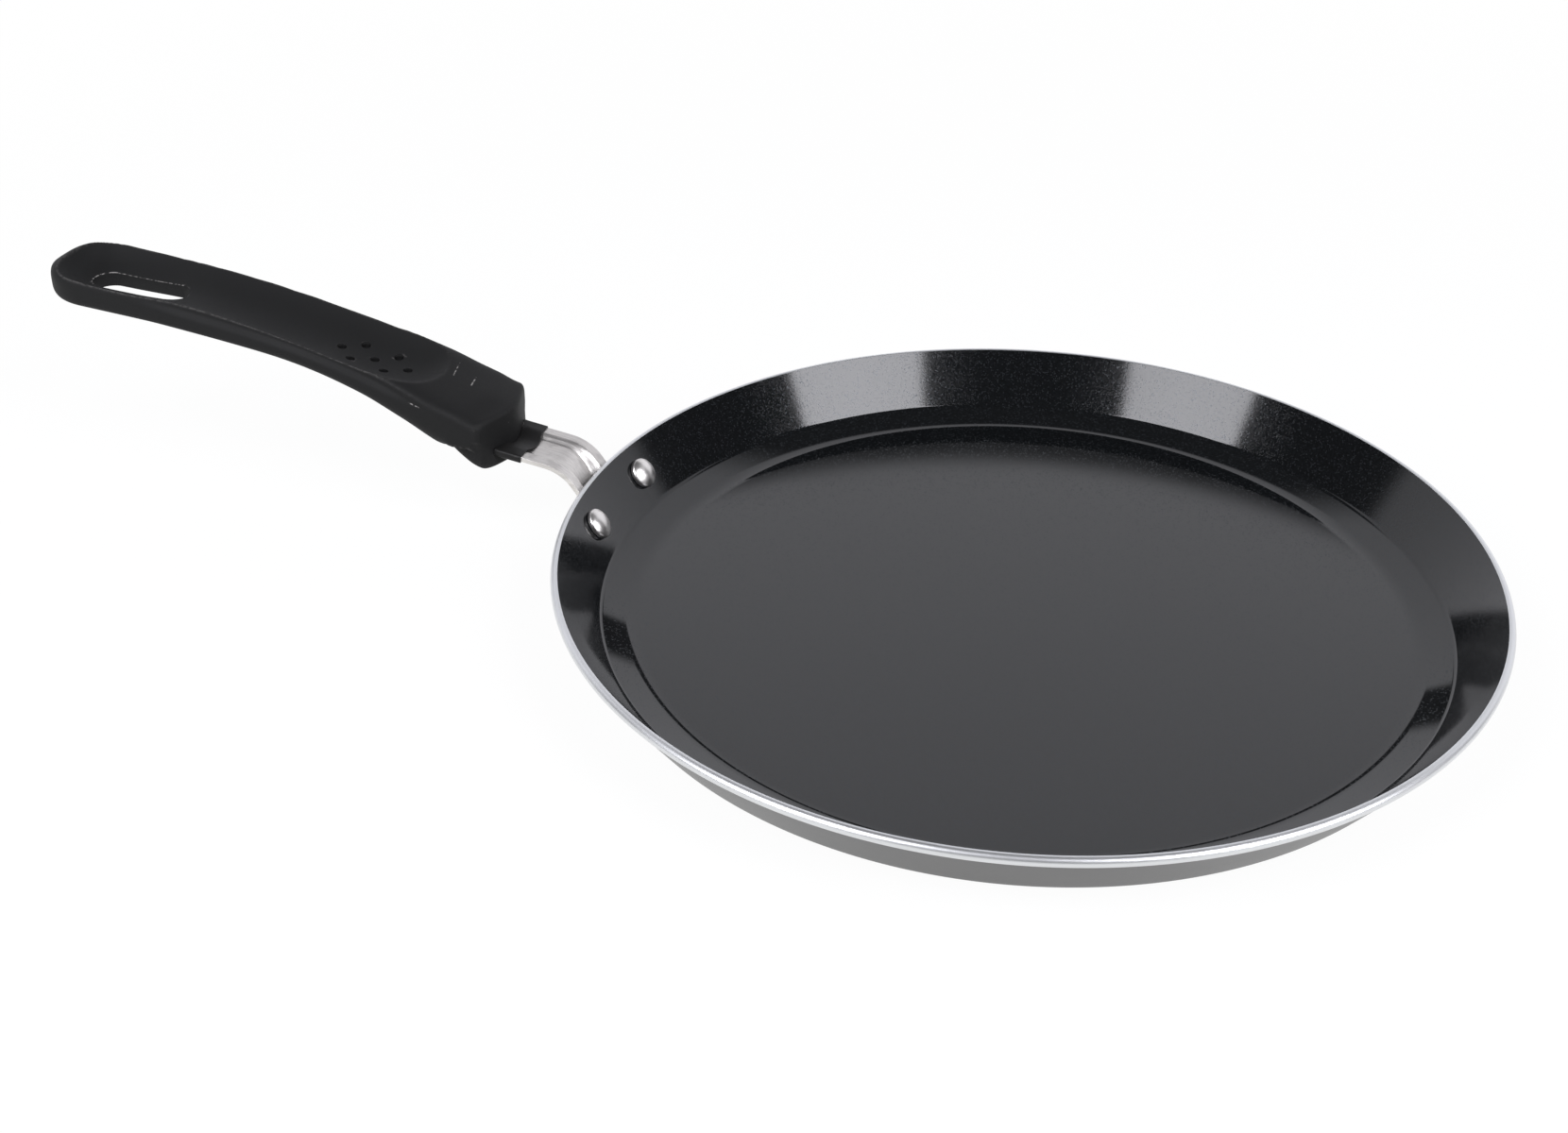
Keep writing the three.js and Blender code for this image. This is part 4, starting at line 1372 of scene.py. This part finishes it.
    def recess_cutter(self) -> bmesh.types.BMesh:
        """The recess for the screw's head, as a shape to cut away."""
        line = Profile().start(0.0, self.recess_top).line(self.recess / 2, self.recess_top)
        line.line(self.recess / 2, self.recess_foot).line(0.0, self.recess_foot)
        mesh = line.turned(48)
        bmesh.ops.transform(mesh, matrix=self.screw_frame(), verts=mesh.verts[:])
        return mesh

    def build(self) -> bpy.types.Object:
        """Makes the grip's skin, cuts it and dresses it."""
        material = MouldedGrip(self).material()
        piece = to_object("grip_moulding", self.skin(), [material])
        for name, cutter in (
            ("slot", self.slot_cutter()),
            ("dimples", self.dimple_cutter()),
            ("recess", self.recess_cutter()),
        ):
            cut_away(piece, to_object("tool_" + name, cutter, [material]))
        cut = bmesh.new()
        cut.from_mesh(piece.data)
        shade(cut, 36.0)
        cut.to_mesh(piece.data)
        cut.free()
        return show(piece, MaterialSlot.GRIP, "handle_grip")


@dataclass(frozen=True)
class MouldedGrip:
    """The grip's matte black moulding: fine grain, a few scuffs, painted highlights along its ridges and
    round the slot, and painted shade in the dimples.
    """

    grip: HandleGrip
    tone: float = 0.007
    # The light tone of the scuffs and of the painted highlights on the ridges and round the slot.
    scuff_and_highlight_tone: float = 0.2
    roughness: float = 0.64

    def slot_highlight(self, g: NodeGraph, place: Shade) -> Shade:
        """A painted highlight line round the slot's upper edge, on its far side and towards the butt.

        Args:
            g: the material's graph.
            place: object coordinates.

        Returns:
            A mask, 1 on the line.
        """
        grip = self.grip
        middle = grip.to_world(grip.length - grip.slot_from_butt - grip.slot_length / 2, 0.0, 31.0)
        x, y, z = g.parts(place)
        run = (grip.slot_length - grip.slot_width) / 2 * MM
        past = (abs(x - middle.x) - run).most(0.0)
        off = (past * past + y * y) ** 0.5 - (grip.slot_width / 2 + 0.5 * grip.slot_edge) * MM
        # worn here only limits the painted highlight to the side of the slot that catches the light.
        worn = y.eased(0.5 * MM, 2.5 * MM).most((middle.x - run - x).eased(1.0 * MM, 3.0 * MM))
        worn = worn * (x - middle.x - run).eased(2.0 * MM, 0.5 * MM)
        thin = abs(off - 0.02 * MM).eased(0.17 * MM, 0.08 * MM)
        return thin * worn * z.eased(middle.z - 2.0 * MM, middle.z - 1.0 * MM)

    def pits(self, g: NodeGraph, place: Shade) -> Shade:
        """Painted shade in the seven dimples: dark and matt, strongest towards their rims and lighter in
        the middle.

        Args:
            g: the material's graph.
            place: object coordinates.

        Returns:
            A mask, 1 in a dimple.
        """
        flat = g.scaled(place, (1.0, 1.0, 0.0))
        nearest: Optional[Shade] = None
        for distance, across in self.grip.dimple_places():
            middle = self.grip.to_world(distance, across, 0.0)
            spot = (middle.x, middle.y, 0.0)
            off = g.node("ShaderNodeVectorMath", {"operation": "DISTANCE"}, {0: flat, 1: spot}, "Value")
            nearest = off if nearest is None else nearest.least(off)
        radius = self.grip.dimple / 2 * MM
        # Painted shade: weaker at a dimple's middle, full towards its wall.
        ring = 0.35 + nearest.eased(0.3 * radius, 0.7 * radius) * 0.65
        return nearest.eased(1.06 * radius, 0.86 * radius) * ring

    def stroke(self, g: NodeGraph, place: Shade, start: Vector, end: Vector, width: float) -> Shade:
        """A short scuff between two points.

        Args:
            g: the material's graph.
            place: object coordinates.
            start: its first point, in mm.
            end: its last point, in mm.
            width: half its width, in mm.

        Returns:
            A mask, 1 on the scuff.
        """
        run = (end - start) * MM
        kind = "ShaderNodeVectorMath"
        off = g.node(kind, {"operation": "SUBTRACT"}, {0: place, 1: start * MM})
        along = g.node(kind, {"operation": "DOT_PRODUCT"}, {0: off, 1: run / run.length_squared}, "Value")
        foot = g.node(kind, {"operation": "SCALE"}, {0: run, "Scale": along.most(0.0).least(1.0)})
        away = g.node(kind, {"operation": "DISTANCE"}, {0: off, 1: foot}, "Value")
        return away.eased(width * MM, 0.3 * width * MM)

    def scuffs(self, g: NodeGraph, place: Shade) -> Shade:
        """Two scuffs on the block's top and one on its near side.

        Args:
            g: the material's graph.
            place: object coordinates.

        Returns:
            A mask, 1 on the scuffs.
        """
        _, y, z = g.parts(place)
        plan = g.scaled(place, (1.0, 1.0, 0.0))
        side = g.scaled(place, (1.0, 0.0, 1.0))
        top = self.stroke(g, plan, Vector((-181.3, 0.5, 0.0)), Vector((-182.2, 5.5, 0.0)), 0.3)
        top = top.most(self.stroke(g, plan, Vector((-187.9, 1.5, 0.0)), Vector((-189.6, 9.0, 0.0)), 0.24))
        near = self.stroke(g, side, Vector((-194.2, 0.0, 43.2)), Vector((-190.7, 0.0, 42.2)), 0.26)
        return top * z.eased(40.0 * MM, 41.0 * MM) + near * y.eased(-12.0 * MM, -15.0 * MM)

    def material(self) -> bpy.types.Material:
        """The grip's material."""
        material, g = new_material("moulded_grip")
        place = g.place()
        grain = g.noise(place, 2300.0, 3.0, 0.6)
        cloud = g.noise(place, 34.0, 3.0)
        specks = g.flecks(place, 420.0, 0.12, 0.03)
        broken = g.noise(place, 900.0, 3.0).eased(0.42, 0.58)
        # Pointiness lightens every ridge: a painted highlight along the lips, the front arc and the slot.
        edges = g.node("ShaderNodeNewGeometry", output="Pointiness").eased(0.51, 0.57)
        marks = self.slot_highlight(g, place).most(self.scuffs(g, place)) * broken
        # marks holds the painted slot highlight and the real scuffs; rubbed adds the painted ridge
        # highlight to them.
        rubbed = marks.most(edges * (0.06 + broken * 0.16))
        tone = g.mixed(cloud, grey(self.tone * 0.86, -0.02), grey(self.tone * 1.14, -0.02))
        grained = g.mixed(grain.eased(0.55, 0.85), tone, grey(self.tone * 1.5, -0.02))
        speckled = g.mixed(specks * 0.5, grained, grey(self.scuff_and_highlight_tone * 0.4))
        skin = {
            "Base Color": g.mixed(rubbed, speckled, grey(self.scuff_and_highlight_tone, 0.04)),
            "Roughness": self.roughness + (grain - 0.5) * 0.2 + (cloud - 0.5) * 0.1,
            "Metallic": 0.0,
            "Specular IOR Level": 0.2,
            "Normal": g.bumped(grain, 0.00006, 0.5),
        }
        # The dimples get painted shade: a dark matt diffuse mixed in by the pits mask.
        g.surface(skin, self.pits(g, place) * 0.8, grey(0.5 * self.tone))
        return material


@dataclass
class Fixings:
    """The screw from below, and the washer and insert that the grip hides."""

    grip: HandleGrip
    head: float = 7.6
    head_height: float = 1.8
    head_top: float = -3.75
    shank: float = 4.0
    tip: float = 6.35
    recess_width: float = 1.1
    recess_length: float = 4.5
    recess_depth: float = 1.1
    thread_pitch: float = 0.7
    thread_depth: float = 0.32
    plain_shank: float = 0.8
    point: float = 0.2

    def screw(self) -> bpy.types.Object:
        """The screw: a low domed head with a cross recess, and a threaded shank."""
        line = Profile().start(0.0, self.head_top - self.head_height)
        flat = self.head_top - self.head_height / 2
        dome = ((self.head / 2) ** 2 + (self.head_height / 2) ** 2) / self.head_height
        line.arc(0.0, self.head_top - self.head_height + dome, math.asin(self.head / 2 / dome), 8)
        line.line(self.head / 2, flat).line(self.head / 2, self.head_top)
        line.line(self.shank / 2, self.head_top)
        pitch, outer = self.thread_pitch, self.shank / 2
        turns = int((self.tip - self.head_top - self.plain_shank - self.point) / pitch)
        for turn in range(turns):
            foot = self.head_top + self.plain_shank + turn * pitch
            line.line(outer, foot).line(outer - self.thread_depth, foot + pitch / 2)
        line.line(outer, self.tip - self.point).line(outer - self.point, self.tip).line(0.0, self.tip)
        mesh = line.turned(48)
        bmesh.ops.transform(mesh, matrix=self.grip.screw_frame(), verts=mesh.verts[:])
        return to_object("screw_turned", mesh, [ZincPlate().material()], 35.0)

    def cross(self, turn: float) -> bpy.types.Object:
        """One bar of the cross recess, as a shape to cut away."""
        mesh = bmesh.new()
        bmesh.ops.create_cube(mesh, size=1.0)
        size = (self.recess_length * MM, self.recess_width * MM, 2 * self.recess_depth * MM)
        bmesh.ops.scale(mesh, vec=size, verts=mesh.verts[:])
        foot = Matrix.Translation((0.0, 0.0, (self.head_top - self.head_height) * MM))
        place = self.grip.screw_frame() @ foot @ Matrix.Rotation(turn, 4, "Z")
        bmesh.ops.transform(mesh, matrix=place, verts=mesh.verts[:])
        return to_object("tool_cross", mesh, [])

    def build(self) -> list[bpy.types.Object]:
        """Makes the screw and dresses the hidden CAD nodes."""
        piece = self.screw()
        for turn in (0.0, math.pi / 2):
            cut_away(piece, self.cross(turn))
        show(piece, MaterialSlot.FIXINGS, "grip_screw")
        plate = piece.data.materials[0]
        for node, material in (("spring_washer", plate), ("screw_insert", TurnedBrass().material())):
            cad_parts[node].data.materials.clear()
            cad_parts[node].data.materials.append(material)
            LOG.info("%s keeps its solid", node)
        return [piece]


@dataclass(frozen=True)
class SoftBox:
    """An upright soft box, turned round the pan from the camera's side."""

    name: str
    swing: float
    width: float
    radiance: float
    tall: float = 1.0


@dataclass
class Studio:
    """A pale floor, two soft boxes, white panels behind and beside the pan, and the camera."""

    camera_place: tuple[float, float, float] = (0.11975, -0.54000, 0.35766)
    camera_right: tuple[float, float, float] = (0.93810, 0.34623, 0.00948)
    camera_up: tuple[float, float, float] = (-0.19048, 0.49285, 0.84901)
    camera_back: tuple[float, float, float] = (0.28928, -0.79826, 0.52829)
    lens: float = 50.0
    sensor: float = 36.0
    boxes: tuple[SoftBox, ...] = (
        SoftBox("soft_box_right", math.radians(58.3), 0.74, 9.3),
        SoftBox("soft_box_left", math.radians(-47.5), 0.69, 8.8),
    )
    box_distance: float = 1.5
    box_elevation: float = math.radians(38)
    dim: float = 0.07
    left_panel: tuple[float, float] = (math.radians(-102), math.radians(-108))
    right_panel: tuple[float, float] = (math.radians(115), math.radians(121))
    panel_top: tuple[float, float] = (0.76, 0.7)
    gap_arch: float = 0.483
    gap_rise: float = 0.59
    gap_foot: tuple[float, float] = (0.42, 0.44)
    gap_side: tuple[float, float] = (0.2, 0.17)
    daylight: tuple[float, float, float] = (1.0, 1.0, 1.05)
    floor_size: float = 12.0

    @property
    def camera_side(self) -> Vector:
        """The level direction from the pan to the camera."""
        return Vector((self.camera_place[0], self.camera_place[1], 0.0)).normalized()

    def camera(self) -> None:
        """Puts the camera where the photograph was taken from."""
        data = bpy.data.cameras.new("camera")
        data.lens = self.lens
        data.sensor_width = self.sensor
        data.sensor_fit = "HORIZONTAL"
        data.clip_start = 0.01
        made = bpy.data.objects.new("camera", data)
        turn = Matrix((self.camera_right, self.camera_up, self.camera_back)).transposed()
        made.matrix_world = Matrix.Translation(self.camera_place) @ turn.to_4x4()
        bpy.context.scene.collection.objects.link(made)
        bpy.context.scene.camera = made

    def hang(self, box: SoftBox) -> None:
        """Hangs a soft box."""
        data = bpy.data.lights.new(box.name, "AREA")
        data.shape = "RECTANGLE"
        data.size = box.width
        data.size_y = box.tall
        data.energy = box.radiance * math.pi * box.width * box.tall
        data.color = self.daylight
        made = bpy.data.objects.new(box.name, data)
        level = Matrix.Rotation(box.swing, 3, "Z") @ self.camera_side
        towards = level * math.cos(self.box_elevation) + Vector((0.0, 0.0, math.sin(self.box_elevation)))
        turn = towards.to_track_quat("Z", "Y").to_matrix().to_4x4()
        made.matrix_world = Matrix.Translation(towards * self.box_distance) @ turn
        bpy.context.scene.collection.objects.link(made)

    def world(self) -> None:
        """White panels behind and beside the pan, with a gap low behind it; the rest is dim."""
        world = bpy.data.worlds.new("surround")
        bpy.context.scene.world = world
        g = NodeGraph(world)
        direction = g.node("ShaderNodeTexCoord", output="Generated")
        side = self.camera_side
        dot = {"operation": "DOT_PRODUCT"}
        along = g.node("ShaderNodeVectorMath", dot, {0: direction, 1: side}, "Value")
        across = g.node("ShaderNodeVectorMath", dot, {0: direction, 1: (-side.y, side.x, 0.0)}, "Value")
        _, _, up = g.parts(direction)
        swing = across.angle(along)
        panels = swing.eased(*self.left_panel) + swing.eased(*self.right_panel)
        behind = math.pi - abs(swing)
        arch = self.gap_arch + behind * behind * self.gap_rise
        gap = (arch - up).eased(-0.004, 0.004) * up.eased(*self.gap_foot) * behind.eased(*self.gap_side)
        light = self.dim + (1 - self.dim) * panels * up.eased(*self.panel_top) * (1 - gap)
        path = g.node("ShaderNodeLightPath").socket.node
        seen = Shade(g, path.outputs["Is Camera Ray"]).most(Shade(g, path.outputs["Is Transmission Ray"]))
        strength = seen + (1 - seen) * light
        white = g.node("ShaderNodeBackground", {}, {"Color": (*self.daylight, 1.0), "Strength": strength})
        g.node("ShaderNodeOutputWorld", {}, {"Surface": white})

    def floor(self) -> None:
        """A pale floor that keeps the pan's shadow."""
        mesh = bmesh.new()
        bmesh.ops.create_grid(mesh, x_segments=1, y_segments=1, size=self.floor_size / 2)
        material, g = new_material("pale_floor")
        place = g.place()
        path = g.node("ShaderNodeLightPath").socket.node
        seen = Shade(g, path.outputs["Is Camera Ray"]).most(Shade(g, path.outputs["Is Glossy Ray"]))
        seen = seen.most(Shade(g, path.outputs["Is Transmission Ray"]))
        tone = g.mixed(g.noise(place, 3.0, 2.0), grey(0.86), grey(0.9))
        matt = g.node("ShaderNodeBsdfDiffuse", {}, {"Color": tone})
        white = g.node("ShaderNodeEmission", {}, {"Color": (1.0, 1.0, 1.0, 1.0), "Strength": 1.0})
        x, y, _ = g.parts(place)
        away = ((x * x + y * y) ** 0.5).eased(0.25, 0.8)
        mix = g.node("ShaderNodeMixShader", {}, {0: seen * (0.95 + away * 0.05), 1: matt, 2: white})
        g.node("ShaderNodeOutputMaterial", {}, {"Surface": mix})
        piece = to_object("floor", mesh, [material])

    def build(self) -> None:
        """Sets up the whole studio."""
        self.camera()
        for box in self.boxes:
            self.hang(box)
        self.world()
        self.floor()
        bpy.context.scene.view_settings.view_transform = "Standard"


def main() -> None:
    """Builds the studio and the pan, piece by piece."""
    logging.basicConfig(level=logging.INFO, format="%(name)s: %(message)s")
    Studio().build()
    pan = PanBody()
    strap = HandleStrap(pan)
    grip = HandleGrip(strap)
    pan.build()
    Rivets(pan).build()
    strap.build()
    StrapSleeve(strap, grip).build()
    grip.build()
    Fixings(grip).build()


if __name__ == "__main__":
    main()
